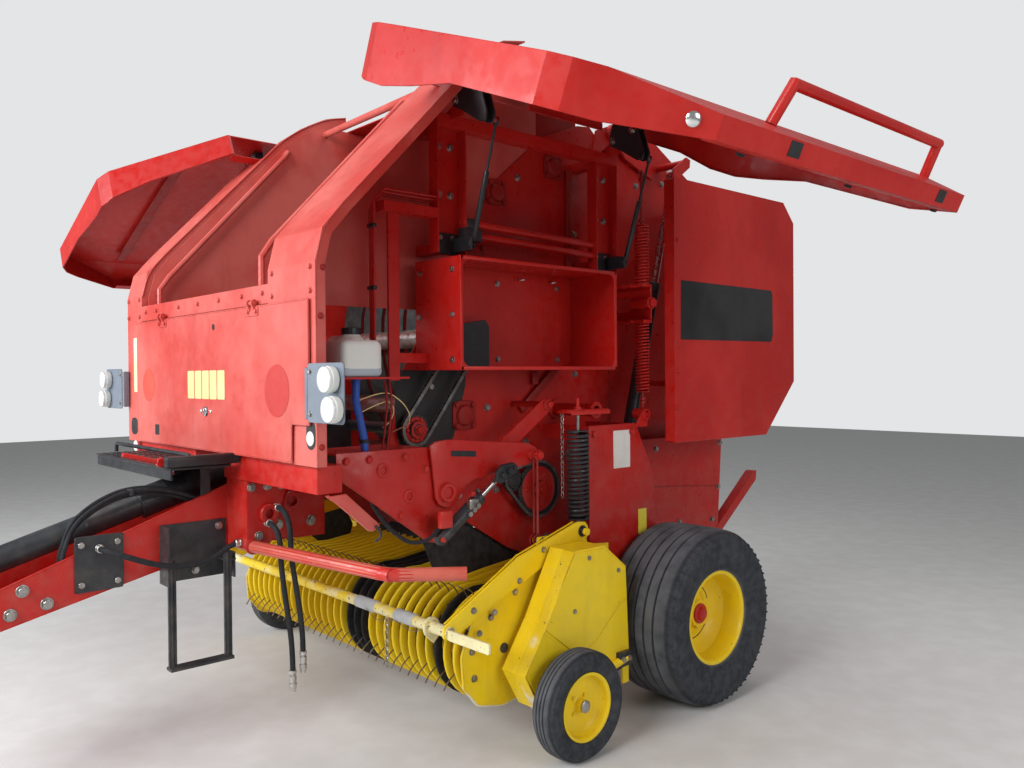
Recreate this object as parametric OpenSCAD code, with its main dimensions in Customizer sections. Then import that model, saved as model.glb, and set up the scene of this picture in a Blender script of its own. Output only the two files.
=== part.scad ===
// Round baler: towed machine that rolls crop into round bales.
// Millimetres. +X is the machine's left, -Y is forward (the drawbar), +Z is up, Z = 0 is the ground.
// Y places are measured from a datum line that passes just ahead of the axle.

/* [Overall] */
// Distance of the datum line behind the middle of the whole length
datum_y = 900; // [880:10:920]

/* [Chamber and body] */
// Inner width of the bale chamber
chamber_w = 1240; // [1200:10:1260]
// Thickness of a chamber side plate
wall_t = 8; // [5:1:12]
// Width of the body over the front posts
body_w = 1930; // [1900:10:1960]
// Place of the body's front face
front_y = -1820; // [-1830:5:-1810]
// Bottom edge of the front posts
front_low_z = 1230; // [1220:5:1245]
// Thickness of the front posts' skin
post_t = 6; // [4:1:8]
// Top of the chamber side plates
wall_top_z = 2970; // [2950:5:2980]
// Rear edge of the fixed body, where the tailgate begins
split_y = 75; // [70:1:75]
// Radius of the belt run round the bale
belt_r = 830; // [810:5:840]
// Thickness of a belt
belt_t = 8; // [5:1:10]
// Number of belts side by side
belt_count = 6; // [4:1:7]
// Radius of a belt roller
roller_r = 45; // [35:1:50]

/* [Wheels] */
// Tyre diameter
tyre_d = 820; // [800:10:840]
// Tyre width
tyre_w = 385; // [360:5:390]
// Distance of a tyre's middle from the machine's middle
wheel_x = 1137; // [1135:1:1150]
// Radius of the rim's edge
rim_r = 215; // [205:5:225]
// Place of the axle behind the datum
axle_y = 70; // [65:1:75]
// Radius of a wheel spindle
spindle_r = 35; // [30:1:40]
// Running gap between a shaft and its hole
run_gap = 0.06; // [0.02:0.01:0.09]
// Diameter of a gauge wheel
gauge_d = 440; // [430:5:445]
// Width of a gauge wheel tyre
gauge_w = 125; // [110:5:130]

/* [Doors] */
// Height of the door hinge line
door_hinge_z = 2660; // [2655:1:2665]
// Distance of the door hinge line from the middle
door_hinge_x = 900; // [896:1:904]
// Angle by which the doors stand open
door_open = 66; // [60:1:68]
// Thickness of the door panels
door_t = 6; // [4:1:8]
// Height of the closed door's lower edge
door_low_z = 1112; // [1110:1:1125]
// Radius of the door hinge pins
hinge_pin_r = 12; // [10:1:14]

/* [Tailgate] */
// Place of the tailgate hinge behind the datum
gate_hinge_y = 100; // [98:1:102]
// Height of the tailgate hinge
gate_hinge_z = 2800; // [2795:1:2805]
// Radius of the tailgate hinge pins
gate_pin_r = 25; // [22:1:28]
// Distance of the shields' outer face from the middle
shield_x = 1050; // [1045:1:1055]

/* [Pickup] */
// Place of the reel's axis behind the datum
reel_y = -970; // [-975:1:-965]
// Height of the reel's axis
reel_z = 420; // [418:1:425]
// Radius to the tine tips
tine_r = 295; // [285:5:295]
// Outer radius of the stripper bands
band_r = 210; // [205:1:215]
// Width of a stripper band
band_w = 40; // [36:1:42]
// Distance from band to band
band_pitch = 62; // [62:1:64]
// Number of stripper bands
band_count = 31; // [29:2:31]
// Thickness of a tine
tine_d = 6; // [5:1:7]
// Place of the pickup's hinge behind the datum
lift_y = -350; // [-352:1:-348]
// Height of the pickup's hinge
lift_z = 700; // [698:1:702]

/* [Drawbar] */
// Place of the hitch eye behind the datum
hitch_y = -3000; // [-3010:5:-2990]
// Height of the hitch eye's middle
hitch_z = 615; // [610:5:620]
// Radius of the hitch eye's hole
hitch_bore_r = 25; // [24:0.5:26]
// Outer radius of the hitch eye
hitch_ring_r = 60; // [55:1:60]
// Half width of the drawbar
bar_x = 150; // [145:1:155]
// Thickness of the drawbar plates
bar_t = 10; // [8:1:12]

/* [Hidden] */
$fn = 36;

red = "firebrick";
dark = "darkslategray";
yellow = "gold";
grey = "silver";
seat = 0.3;
wall_in = chamber_w / 2;
wall_out = wall_in + wall_t;
post_x = body_w / 2;
axle_z = tyre_d / 2;

// Outer line of the front posts in the side view, as [Y, Z]
post_line = [[front_y, front_low_z], [front_y, 1950], [front_y + 30, 2070], [front_y + 110, 2165],
    [-1060, 2850], [-930, 2945], [-780, 3025], [-650, 3055]];

module at_datum() { translate([0, datum_y, 0]) children(); }

module both_sides() {
    children();
    mirror([1, 0, 0]) children();
}

// A plate with a side view outline of [Y, Z] points, between two places across the machine
module side_plate(outline, x0, x1) {
    translate([x0, 0, 0]) rotate([90, 0, 90]) linear_extrude(x1 - x0) polygon(outline);
}

// A plate with a front view outline of [X, Z] points, between two places along the machine
module cross_plate(outline, y0, y1) {
    translate([0, y1, 0]) rotate([90, 0, 0]) linear_extrude(y1 - y0) polygon(outline);
}

// A block given by its lowest and highest corners
module block(low, high) { translate(low) cube(high - low); }

// A round bar between two points
module bar(from, to, r) {
    d = to - from;
    translate(from) rotate([0, acos(d[2] / norm(d)), atan2(d[1], d[0])]) cylinder(h = norm(d), r = r);
}

// A bent round bar through a list of points
module bent_bar(points, r, balls = true) {
    for (i = [0 : len(points) - 2]) {
        d = points[i + 1] - points[i];
        grow = (balls || i == len(points) - 2) ? 0 : 0.6 * r / norm(d);
        bar(points[i], points[i + 1] + grow * d, r);
        if (balls && i > 0) translate(points[i]) sphere(r = 1.1 * r);
    }
}

// A cylinder across the machine at a [Y, Z] place
module cross_bar(place, x0, x1, r) {
    translate([x0, place[0], place[1]]) rotate([0, 90, 0]) cylinder(h = x1 - x0, r = r);
}

// A polyline moved sideways by d, for skins that follow a line; ends stay square
function unit(v) = v / norm(v);
function left_of(v) = [-v[1], v[0]];
function corner_shift(line, i, d) =
    let (a = i > 0 ? left_of(unit(line[i] - line[i - 1])) : left_of(unit(line[1] - line[0])),
         b = i < len(line) - 1 ? left_of(unit(line[i + 1] - line[i])) : a)
    (a + b) * d / (1 + a * b);
function shifted(line, d) = [for (i = [0 : len(line) - 1]) line[i] + corner_shift(line, i, d)];
function reversed(list) = [for (i = [len(list) - 1 : -1 : 0]) list[i]];
function skin_outline(line, d0, d1) = concat(shifted(line, d0), reversed(shifted(line, d1)));

// Points on an arc of [Y, Z] places
function arc(centre, r, a0, a1, steps) =
    [for (i = [0 : steps]) let (a = a0 + (a1 - a0) * i / steps) centre + r * [cos(a), sin(a)]];

// Running gear

leg_outline = [[-400, 1310], [-70, 1310], [60, 1060], [110, 560], [110, 350], [20, 350], [-60, 520],
    [-400, 660]];
leg_rib = [[-340, 930], [-190, 930], [-20, 470], [-60, 380], [-130, 520], [-340, 640]];
leg_x = 920;
leg_t = 8;
beam_half = 55;

module axle_beam() {
    color(red) at_datum() {
        block([-leg_x, axle_y - beam_half, axle_z - beam_half], [leg_x, axle_y + beam_half,
            axle_z + beam_half]);
        both_sides() {
            side_plate(leg_outline, leg_x, leg_x + leg_t);
            side_plate(leg_rib, leg_x - 12, leg_x + 1);
            block([wall_out, -400, 1240], [leg_x + 1, -392, 1310]);
            difference() {
                cross_bar(spring_tube, 865, 935, 28);
                cross_bar(spring_tube, 900, 936, 20);
            }
            side_plate([[-70, 1290], [20, 1290], [38, 1350], [-10, 1372]], leg_x, leg_x + leg_t);
            block([wall_out, -100, 1240], [leg_x + 1, -92, 1310]);
            side_plate([[-100, 640], [20, 640], [20, axle_z], [-20, axle_z]], wall_out, wall_out + 60);
            cross_bar([axle_y, axle_z], leg_x, wheel_x + 60, spindle_r);
            cross_bar([lift_y, lift_z], leg_x - 60, leg_x + 1, 20);
        }
    }
}

groove_depth = 9;
bead_x = 150;
// Half of the tyre's cross section, as [radius, half width]
module tyre_section(d, w, bead_r, bead_half, grooves, depth) {
    r = d / 2;
    difference() {
        polygon([[bead_r, -bead_half], [r * 0.72, -w / 2 + 4], [r * 0.86, -w / 2], [r - 26, -w / 2 + 12],
            [r - 8, -w / 2 + 40], [r, -w / 4], [r, w / 4], [r - 8, w / 2 - 40], [r - 26, w / 2 - 12],
            [r * 0.86, w / 2], [r * 0.72, w / 2 - 4], [bead_r, bead_half]]);
        for (g = grooves) translate([r - depth, g - 5]) square([20, 10]);
    }
}

module tyre(side) {
    color(dark) at_datum() translate([side * wheel_x, axle_y, axle_z]) rotate([0, 90, 0])
        rotate_extrude()
            tyre_section(tyre_d, tyre_w, rim_r - 8, bead_x, [-105, -52, 0, 52, 105], groove_depth);
}

// Rim with its dished disc, hub and cap
module rim(side) {
    color(yellow) at_datum() translate([side * wheel_x, axle_y, axle_z]) rotate([0, side * 90, 0])
        rotate_extrude() {
            polygon([[rim_r - 24, -bead_x - 12], [rim_r, -bead_x - 12], [rim_r, -bead_x - 4.3],
                [rim_r - 8.3, -bead_x - 0.5], [rim_r - 8.3, bead_x + 0.5], [rim_r, bead_x + 4.3],
                [rim_r, bead_x + 12], [rim_r - 24, bead_x + 12]]);
            polygon([[60, 0], [120, 6], [rim_r - 23, 46], [rim_r - 23, 56], [116, 16], [60, 12]]);
            polygon([[spindle_r + run_gap, -70], [62, -70], [62, 60], [48, 70], [0, 78], [0, 66],
                [spindle_r + run_gap, 66]]);
        }
}

gauge_x = 1245;
gauge_y = -810;
module gauge_tyre(side) {
    color(dark) at_datum() translate([side * gauge_x, gauge_y, gauge_d / 2]) rotate([0, 90, 0])
        rotate_extrude() difference() {
            polygon([[132, -42], [175, -gauge_w / 2], [200, -gauge_w / 2 + 6], [gauge_d / 2, -30],
                [gauge_d / 2, 30], [200, gauge_w / 2 - 6], [175, gauge_w / 2], [132, 42]]);
            for (g = [-18, 0, 18]) translate([gauge_d / 2 - 5, g - 3]) square([20, 6]);
        }
}

module gauge_rim(side) {
    color(yellow) at_datum() translate([side * gauge_x, gauge_y, gauge_d / 2]) rotate([0, side * 90, 0])
        rotate_extrude() {
            polygon([[118, -46], [131.7, -46], [131.7, 46], [136, 50], [118, 50]]);
            polygon([[24, -8], [119, 6], [119, 12], [24, 0]]);
            polygon([[12 + run_gap, -30], [26, -30], [26, 34], [0, 40], [0, 34], [12 + run_gap, 34]]);
        }
}

// Body

wall_outline = [[-1300, 1240], [-1230, 1560], [-1060, 1830], [-920, 2100], [-700, 2440], [-400, 2700],
    [-150, 2800], [-60, 2810], [split_y, 2700], [split_y, 700],
    [-120, 640], [-480, 640], [-540, 700], [-640, 740], [-900, 900], [-1230, 940], [-1300, 980]];
// Plates behind the front posts, up to the roof
inner_outline = [[-1790, 1830], [-1790, 1950], [-1760, 2062], [-1690, 2150], [-1040, 2828], [-915, 2920],
    [-775, wall_top_z], [-430, wall_top_z], [-430, 2580], [-740, 2300], [-1000, 1900], [-1060, 1830]];
right_outline = concat([for (i = [0 : 9]) inner_outline[i]],
    [[-960, 2120], [-1050, 2042], [-1225, 2042], [-1225, 1830]]);
gate_lug = [[20, 2640], [gate_hinge_y, 2750], [gate_hinge_y + 42, gate_hinge_z - 15],
    [gate_hinge_y + 30, gate_hinge_z + 34], [gate_hinge_y - 15, gate_hinge_z + 42], [-20, 2800],
    [-60, 2640]];
cross_shaft = [-1190, 1320];
upper_tube = [-320, 1380];
spring_tube = [10, 1350];
spring_y = 20;

module side_walls() {
    color(red) at_datum() both_sides() {
        difference() {
            side_plate(wall_outline, wall_in, wall_out);
            cross_bar(cross_shaft, wall_in - 10, wall_out + 10, 34);
        }
        side_plate(gate_lug, wall_out + 1, wall_out + 12);
        side_plate([[-60, 2640], [40, 2640], [40, 2700], [-60, 2780]], wall_out - 1, wall_out + 2);
        cross_bar([gate_hinge_y, gate_hinge_z], wall_out + 11, wall_out + 56, gate_pin_r);
        difference() {
            cross_bar(upper_tube, wall_out - 1, 900, 30);
            cross_bar(upper_tube, 860, 901, 22);
        }
        block([880, -560, 1374], [970, -300, 1384]);
        cross_bar(gate_foot, wall_out - 1, gate_x + 30, 18);
    }
}

// Inner edges of the left and the right front post
post_in = [wall_in - 14, 205 - post_x];
flange_depth = 60;
rail_low = 1826;
rail_high = 1900;
rail_depth = 90;
module front_posts() {
    color(red) at_datum() {
        for (side = [0, 1]) {
            edge = post_in[side];
            sign = side == 0 ? 1 : -1;
            mirror([side, 0, 0]) {
                difference() {
                    union() {
                        side_plate(skin_outline(post_line, 0, -post_t), sign * edge, post_x);
                        side_plate(skin_outline(post_line, -post_t + 1, -40), post_x - post_t, post_x);
                    }
                    block([post_x - 180, -1160, 2600], [post_x + 1, -600, 3100]);
                }
                side_plate(skin_outline(post_line, 0, -flange_depth), sign * edge, sign * edge + post_t);
            }
        }
        side_plate(inner_outline, post_in[0] + post_t - 1, wall_in);
        side_plate(right_outline, post_in[1] + 6, post_in[1] + 14);
        block([post_in[1], front_y, rail_low], [post_in[0], front_y + post_t, rail_high]);
        block([post_in[1] + 13, front_y, rail_high - post_t], [post_in[0], front_y + rail_depth,
            rail_high]);
        for (x = [-450, 500]) cross_bar([front_y - 16, 1832], x - 30, x + 30, 8);
        for (x = [-450, 500]) block([x - 8, front_y - 16, 1826], [x + 8, front_y + 1, 1838]);
        bar([post_in[1] + 12, -790, 2930], [post_in[0] + 10, -1050, 2800], 18);
        rail_right = post_in[1] + 42;
        swept_tube([for (p = [[-1745, 1898], [-1745, 1985], [-1700, 2050], [-1055, 2761]])
            [rail_right, p[0], p[1]]], 14, [1, 0, 0]);
        bar([rail_right - 1, -1062, 2754], [post_in[1] + 12, -1030, 2790], 15.5);
        rail_left = post_in[0] - 132;
        swept_tube([for (p = [[-1780, 1898], [-1780, 2020], [-1735, 2085], [-1090, 2776]])
            [rail_left, p[0], p[1]]], 14, [1, 0, 0]);
        cross_bar([-1096, 2770], rail_left - 6, post_in[0] + 10, 15.5);
    }
}

module roof() {
    color(red) at_datum() {
        block([-800, -640, wall_top_z + seat], [800, -150, wall_top_z + seat + 6]);
        both_sides() block([794, -640, 2740], [800, -150, wall_top_z + 1]);
    }
}

// Frames that carry the doors
frame_x0 = 780;
frame_x1 = 840;
hinge_places = [-1115, -165];
strut_foot = [905, 2085];
module door_frames() {
    color(red) at_datum() both_sides() {
        block([frame_x0, -1190, 2570], [frame_x1, -90, 2620]);
        for (y = hinge_places) {
            block([frame_x0, y - 75, 2050], [frame_x0 + 6, y + 75, 2571]);
            block([frame_x0, y - 75, 2050], [frame_x1, y - 69, 2571]);
            block([frame_x0, y + 69, 2050], [frame_x1, y + 75, 2571]);
            cross_plate([[frame_x0 + 10, 2600], [door_hinge_x + 18, 2600], [door_hinge_x + 18,
                door_hinge_z],
                [door_hinge_x - 18, door_hinge_z + 10], [frame_x0 + 10, 2622]], y - 5, y + 5);
            translate([door_hinge_x, y + 32, door_hinge_z]) rotate([90, 0, 0]) cylinder(h = 64,
                r = hinge_pin_r);
            block([frame_x0 + 1, y + 30, 2060], [strut_foot[0] + 15, y + 38, 2110]);
            translate([strut_foot[0], y + 62, strut_foot[1]]) rotate([90, 0, 0]) cylinder(h = 25, r = 6);
        }
        for (z = [2140, 2190]) bar([frame_x0 + 30, -1050, z], [frame_x0 + 30, -230, z - 20], 16);
        block([frame_x0, -1450, 2190], [frame_x1, -1189, 2230]);
        block([frame_x0, -1400, 1530], [frame_x0 + 12, -1350, 2191]);
        block([frame_x0, -1351, 1600], [frame_x0 + 6, box_low[1] - seat, 1640]);
        for (z = [2060, 2560]) block([wall_out, -195, z], [frame_x0 + 1, -135, z + 40]);
    }
    color(red) at_datum() for (z = [2060, 2560]) {
        block([wall_in + seat, -1145, z], [frame_x0 + 1, -1085, z + 40]);
        block([-frame_x0 - 1, -1145, z], [-754 - seat, -1085, z + 40]);
    }
}

chamber_centre = [60, 1760];
roller_ring = belt_r + belt_t + seat + roller_r;
module roller_at(angle, r) {
    cross_bar(chamber_centre + roller_ring * [cos(angle), sin(angle)], -wall_in + seat, wall_in - seat, r);
}

module chamber_rollers() {
    color(grey) at_datum() {
        for (a = [138, 160, 182, 204, 225]) roller_at(a, roller_r);
        cross_bar([-90, 790], -wall_in + seat, wall_in - seat, 110);
        cross_bar([-420, 900], -wall_in + seat, wall_in - seat, 90);
    }
}

module belts(a0, a1) {
    belt_w = 0.84 * (chamber_w - 40) / belt_count;
    for (i = [0 : belt_count - 1]) {
        x = -chamber_w / 2 + 20 + (chamber_w - 40) * (i + 0.5) / belt_count;
        side_plate(concat(arc(chamber_centre, belt_r, a0, a1, 12),
            arc(chamber_centre, belt_r + belt_t, a1, a0, 12)), x - belt_w / 2, x + belt_w / 2);
    }
}

module chamber_belts() { color(dark) at_datum() belts(134, 229); }

// Drawbar as [Y, top, bottom]
bar_table = [[-1330, 1150, 830], [-1730, 1119, 835], [-2070, 997, 780], [-2630, 797, 647],
    [-2930, 690, 570]];
bar_outline = concat([for (r = bar_table) [r[0], r[1]]], [for (r = reversed(bar_table)) [r[0], r[2]]]);
bar_floor = [for (r = bar_table) [r[0], r[2]]];
jack_y = -2800;
jack_pin_z = 660;

module drawbar() {
    color(red) at_datum() {
        both_sides() {
            side_plate(bar_outline, bar_x - bar_t, bar_x);
            block([bar_x + seat, front_y + 20, 1130], [930, front_y + 120, front_low_z - seat]);
            side_plate([[-1790, 1130 - seat], [-1790, 848], [-1768, 832], [-1700, 832],
                [-1600, 1130 - seat]], bar_x + seat, 340);
        }
        side_plate(skin_outline(bar_floor, 0, -bar_t), -bar_x + 1, bar_x - 1);
        block([-bar_x, -2930, 600], [bar_x, -2860, 640]);
        difference() {
            union() {
                block([-45, hitch_y, hitch_z - 20], [45, -2900, hitch_z + 20]);
                translate([0, hitch_y, hitch_z - 20]) cylinder(h = 40, r = hitch_ring_r);
            }
            translate([0, hitch_y, hitch_z - 21]) cylinder(h = 42, r = hitch_bore_r);
        }
        cross_bar([jack_y, jack_pin_z], bar_x - 1, bar_x + 62, 15);
        bent_bar([[346, -1768.5, 860], [1150, -1650, 860], [1320, -1440, 860]], 24, false);
        cross_bar([-1768.5, 860], 340 + seat, 352, 32);
    }
}

shaft_slope = 0.304;
function shaft_at(y) = [0, y, 1040 + (y + 2070) * shaft_slope];
module driveline_shaft() {
    color(dark) at_datum() {
        bar(shaft_at(-1640), shaft_at(-2100), 62);
        bar(shaft_at(-2080), shaft_at(-2700), 48);
        bar(shaft_at(-2690), shaft_at(-2800), 60);
        difference() {
            bar(shaft_at(-2790), shaft_at(-2900), 36);
            bar(shaft_at(-2840), shaft_at(-2901), 17.5);
        }
        bar(shaft_at(-1641), shaft_at(-1609.5), 30);
    }
}

module gearbox() {
    color(dark) at_datum() {
        block([-bar_x + bar_t + seat, -1600, 1060], [bar_x - bar_t - seat, -1180, 1390]);
        cross_bar(cross_shaft, 130, 695, 25);
    }
}

module platform() {
    color(dark) at_datum() {
        block([-600, -2080, 1190], [300, front_y - 20, 1198]);
        block([-600, -2080, 1150], [300, -2072, 1191]);
        for (x = [-bar_x + bar_t / 2, bar_x - bar_t / 2])
            side_plate([[-1900, 1058 + seat], [-1860, 1072.5 + seat], [-1860, 1191], [-1900, 1191]],
                x - 4, x + 4);
        block([bar_x + seat, -2386, 740], [bar_x + 6, -2213, 950]);
        block([bar_x + seat, -2072, 726], [250, -2066, 958]);
        block([bar_x + seat, -1806, 726], [250, -1800 - seat, 830]);
        block([bar_x + seat, -2072, 726], [bar_x + 6, -1800 - seat, 958]);
        block([244, -2076, 400], [256, -2046, 830]);
        block([244, -1850, 400], [256, -1820, 830]);
        block([bar_x + seat, -2072, 800], [256, -2046, 806]);
        block([bar_x + seat, -1850, 800], [256, -1800 - seat, 806]);
        block([225, -2076, 400], [275, -1820, 412]);
    }
}

box_low = [700, -1206, 1570];
box_high = [1000, -285, 2020];
module twine_boxes() {
    color(red) at_datum() both_sides() {
        difference() {
            block(box_low, box_high);
            block(box_low + [6, 6, 6], box_high + [1, -6, -6]);
        }
        for (p = [[-1100, 1600], [-400, 1600], [-920, 1960], [-400, 1960]])
            block([wall_out, p[0] - 20, p[1] - 15], [box_low[0] + 1, p[0] + 20, p[1] + 15]);
    }
}

tank_low = [post_x - 185, -1690, 1545];
tank_high = [post_x - 35, -1540, 1695];
module oil_tank() {
    color("white") at_datum() {
        block(tank_low, tank_high);
        translate([post_x - 110, -1620, 1694]) cylinder(h = 30, r = 26);
    }
}

module oil_lines() {
    color(red) at_datum() {
        block([tank_low[0], front_y + post_t + seat, tank_low[2] - seat - 8], [tank_high[0], -1400 - seat,
            tank_low[2] - seat]);
        for (i = [0 : 2]) swept_tube([for (p = [[-1490, 1540], [-1490, 2190 + 20 * i],
            [-1440, 2256 + 10 * i], [-1190 - seat, 2256 + 10 * i]])
            [tank_low[0] + 20 + 14 * i, p[0], p[1]]], 5, [1, 0, 0]);
    }
}

lamp_z = [1540, 1440];
module lamps() {
    color(grey) at_datum() both_sides() {
        block([post_x - 25, front_y - 34, 1388], [post_x + 215, front_y - 30, 1592]);
        block([post_x - 25, front_y - 31, 1400], [post_x - 7, front_y, 1580]);
        for (i = [0, 1]) translate([post_x + 135 + 20 * i, front_y - 33, lamp_z[i]]) rotate([90, 0, 0])
            cylinder(h = 50, r = 45);
    }
}

// Sprockets as [Y, Z, radius], and the chain round each pair
sprockets = [[-1190, 1320, 65], [-930, 1660, 60], [-480, 1005, 130], [-640, 1060, 50]];
chain_pairs = [[0, 1], [2, 3]];
chain_x = wall_out + 37;
module chain_drives() {
    color(dark) at_datum() {
        for (s = sprockets) difference() {
            cross_bar([s[0], s[1]], wall_out + seat, chain_x + 20, s[2]);
            if (s == sprockets[0]) cross_bar([s[0], s[1]], wall_out - 1, chain_x + 21, 25 + seat);
        }
        for (p = chain_pairs) {
            a = sprockets[p[0]];
            b = sprockets[p[1]];
            translate([chain_x, 0, 0]) rotate([90, 0, 90]) linear_extrude(14) difference() {
                hull() { translate([a[0], a[1]]) circle(r = a[2] + 12); translate([b[0],
                    b[1]]) circle(r = b[2] + 12); }
                hull() { translate([a[0], a[1]]) circle(r = a[2] - 1); translate([b[0],
                    b[1]]) circle(r = b[2] - 1); }
            }
        }
    }
}

// A close coiled spring standing on z0, as a ribbed body
module coil(z0, z1, r, pitch) {
    n = round((z1 - z0) / pitch);
    p = (z1 - z0) / n;
    rotate_extrude() polygon(concat([[0, z0]], [for (i = [0 : n - 1], k = [0 : 2])
        [k == 0 ? r - 5 : (k == 1 ? r : r), z0 + p * (i + [0.02, 0.3, 0.7][k])]], [[r - 5, z1], [0, z1]]));
}

module tension_springs() {
    color(red) at_datum() both_sides() {
        translate([900, spring_y, 0]) {
            coil(1455, 1800, 36, 17);
            coil(1990, 2285, 36, 17);
            translate([0, 0, 1378 + seat]) cylinder(h = 78 - seat, r = 8);
            translate([0, 0, 2284]) cylinder(h = 270, r = 8);
        }
        block([wall_out, -15, 1799], [940, 50, 1991]);
    }
}

module lift_springs() {
    color(dark) at_datum() both_sides() translate([950, -495, 0]) {
        coil(895, 1297, 45, 17);
        translate([0, 0, 1296]) cylinder(h = 78 - seat, r = 8);
        translate([0, 0, 820]) cylinder(h = 76, r = 8);
    }
}

// Side channel with the pivot of the pickup's lift link
channel_outline = [[-1700, 1265], [-1290, 1265], [-1180, 1130], [-1160, 1060], [-1240, 880], [-1290, 890],
    [-1700, 1180]];
link_pivot = [-1210, 1080];
lift_foot = [-1265, 905];
module side_channels() {
    color(red) at_datum() both_sides() {
        side_plate(channel_outline, 880, 888);
        cross_bar(link_pivot, wall_out, 915, 30);
        block([wall_out, -1700, 1258], [881, -1300, 1265]);
        cross_bar(lift_foot, 887, 962, 12);
    }
}

// Free hoses, as routes of [X, Y, Z] points
hose_r = 11;
hose_routes = [
    [[340, -1705, 950], [364, -1705, 950], [392, -1705, 945], [418, -1704, 932], [438, -1704, 912],
        [451, -1704, 886], [456, -1703, 858], [457, -1702, 803], [458, -1697, 747], [459, -1691, 692],
        [459, -1683, 637], [459, -1675, 581], [459, -1667, 526], [458, -1661, 471], [457, -1657, 415],
        [456, -1655, 360]],
    [[340, -1666, 1010], [366, -1666, 1010], [396, -1666, 1005], [422, -1665, 992], [444, -1665, 970],
        [457, -1664, 944], [462, -1664, 914], [463, -1662, 860], [464, -1658, 806], [465, -1651, 753],
        [465, -1642, 699], [465, -1634, 645], [465, -1626, 591], [464, -1619, 538], [463, -1614, 484],
        [462, -1612, 430]],
    [[156, -2300, 900], [178, -2300, 900], [206, -2294, 898], [233, -2279, 892], [256, -2254, 882],
        [272, -2220, 868], [282, -2180, 851], [288, -2135, 834], [291, -2085, 821], [293, -2035, 813],
        [293, -1985, 812], [292, -1940, 818], [290, -1900, 832], [288, -1870, 848], [287, -1850, 858],
        [287, -1832, 865], [286, -1812, 871], [285, -1801, 872.6], [285, -1790.8, 873]]];
ring_sides = 8;
function tangent(path, i) = unit(path[min(i + 1, len(path) - 1)] - path[max(i - 1, 0)]);
function ring(path, i, r, ref) = let (t = tangent(path, i), n = unit(cross(t, ref)), b = cross(t, n))
    [for (k = [0 : ring_sides - 1])
        path[i] + r * (cos(360 * k / ring_sides) * n + sin(360 * k / ring_sides) * b)];
module swept_tube(path, r, ref = [0, 1, 0.1]) {
    rings = len(path);
    polyhedron(points = [for (i = [0 : rings - 1]) each ring(path, i, r, ref)],
        faces = concat([[for (k = [0 : ring_sides - 1]) k]],
            [for (i = [0 : rings - 2], k = [0 : ring_sides - 1])
                let (a = i * ring_sides, b = a + ring_sides, n = (k + 1) % ring_sides) [a + k, b + k,
                    b + n, a + n]],
            [[for (k = [ring_sides - 1 : -1 : 0]) (rings - 1) * ring_sides + k]]));
}

module hoses() {
    color(dark) at_datum() for (route = hose_routes) swept_tube(route, hose_r);
}

module hose_couplers() {
    color(grey) at_datum() for (i = [0, 1]) {
        end = hose_routes[i][len(hose_routes[i]) - 1];
        translate([end[0], end[1], end[2] - 90]) cylinder(h = 90 - seat, r = 13);
    }
}

// Front panel, hinged along its top edge
panel_x0 = -800;
panel_x1 = 932;
module front_panel() {
    color(red) at_datum() {
        difference() {
            cross_plate([[panel_x0, front_low_z + 5], [800, front_low_z + 5], [800, 1375], [panel_x1, 1375],
                [panel_x1, 1822], [panel_x0, 1822]], front_y - 11, front_y - 5);
            for (x = [-450, 500]) block([x - 40, front_y - 12, 1812], [x + 40, front_y - 4, 1823]);
        }
        for (x = [-450, 500], s = [-1, 1]) difference() {
            hull() {
                cross_bar([front_y - 16, 1832], x + s * 20 - 6, x + s * 20 + 6, 14);
                block([x + s * 20 - 6, front_y - 11, 1790], [x + s * 20 + 6, front_y - 8, 1800]);
            }
            cross_bar([front_y - 16, 1832], x + s * 20 - 7, x + s * 20 + 7, 8 + run_gap);
        }
    }
}

// Side doors, drawn closed and then swung up
// Skin section as [X, Z] from top to bottom, and the inner edge of the end bands
door_skin = [[1055, 2790], [1086, 2110], [1116, 1290], [1086, door_low_z]];
door_band_in = [[935, 2790], [935, 2450], [905, 2250], [905, 2110], [930, 1960], [972, 1760], [985, 1290],
    [1020, door_low_z]];
// Side view outline as [Y, Z]
door_outline = [[split_y, 2790], [-1330, 2790], [-1800, 2290], [-1835, 2200], [-1835, 1400], [-1800, 1340],
    [-1460, door_low_z], [split_y, door_low_z]];
strut_eye = [160, -100];
strut_closed = [door_hinge_x, door_hinge_z] + [strut_eye[0] * cos(door_open) + strut_eye[1] * sin(door_open),
    strut_eye[1] * cos(door_open) - strut_eye[0] * sin(door_open)];
module door_closed() {
    band = concat(door_skin, reversed(door_band_in));
    difference() {
        intersection() {
            cross_plate(band, -1900, 200);
            side_plate(door_outline, 800, 1200);
        }
        intersection() {
            cross_plate(concat([[1049, 2900]], [for (p = door_skin) p - [door_t, 0]], [[1080, 1000],
                [700, 1000], [700, 2900]]),
                -1900, 200);
            side_plate([[split_y - door_t, 2900], [-1240, 2900], [-1322, 2778], [-1793, 2282], [-1829,
                2196], [-1829, 1402],
                [-1796, 1346], [-1457, door_low_z + door_t], [split_y - door_t, door_low_z + door_t]],
                    700, 1200);
        }
    }
    for (y = hinge_places, s = [-1, 1]) difference() {
        cross_plate([[door_hinge_x - 24, door_hinge_z + 8], [door_hinge_x, door_hinge_z + 26], [1056,
            2700], [1060, 2600],
            [900, 2455], [865, 2450], [855, 2480], [872, 2600]], y + s * 20 - 4, y + s * 20 + 4);
        translate([door_hinge_x, y + s * 20 + 5, door_hinge_z]) rotate([90, 0, 0])
            cylinder(h = 10, r = hinge_pin_r + run_gap);
    }
    for (y = hinge_places) translate([strut_closed[0], y + 45, strut_closed[1]]) rotate([90, 0, 0])
        cylinder(h = 22, r = 12);
}

handle_r = 18;
module door_handle() {
    bent_bar([[1110, -1040, 1260], [1235, -1010, 1250], [1235, 0, 1250], [1110, 20, 1260]], handle_r,
        false);
}

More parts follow.
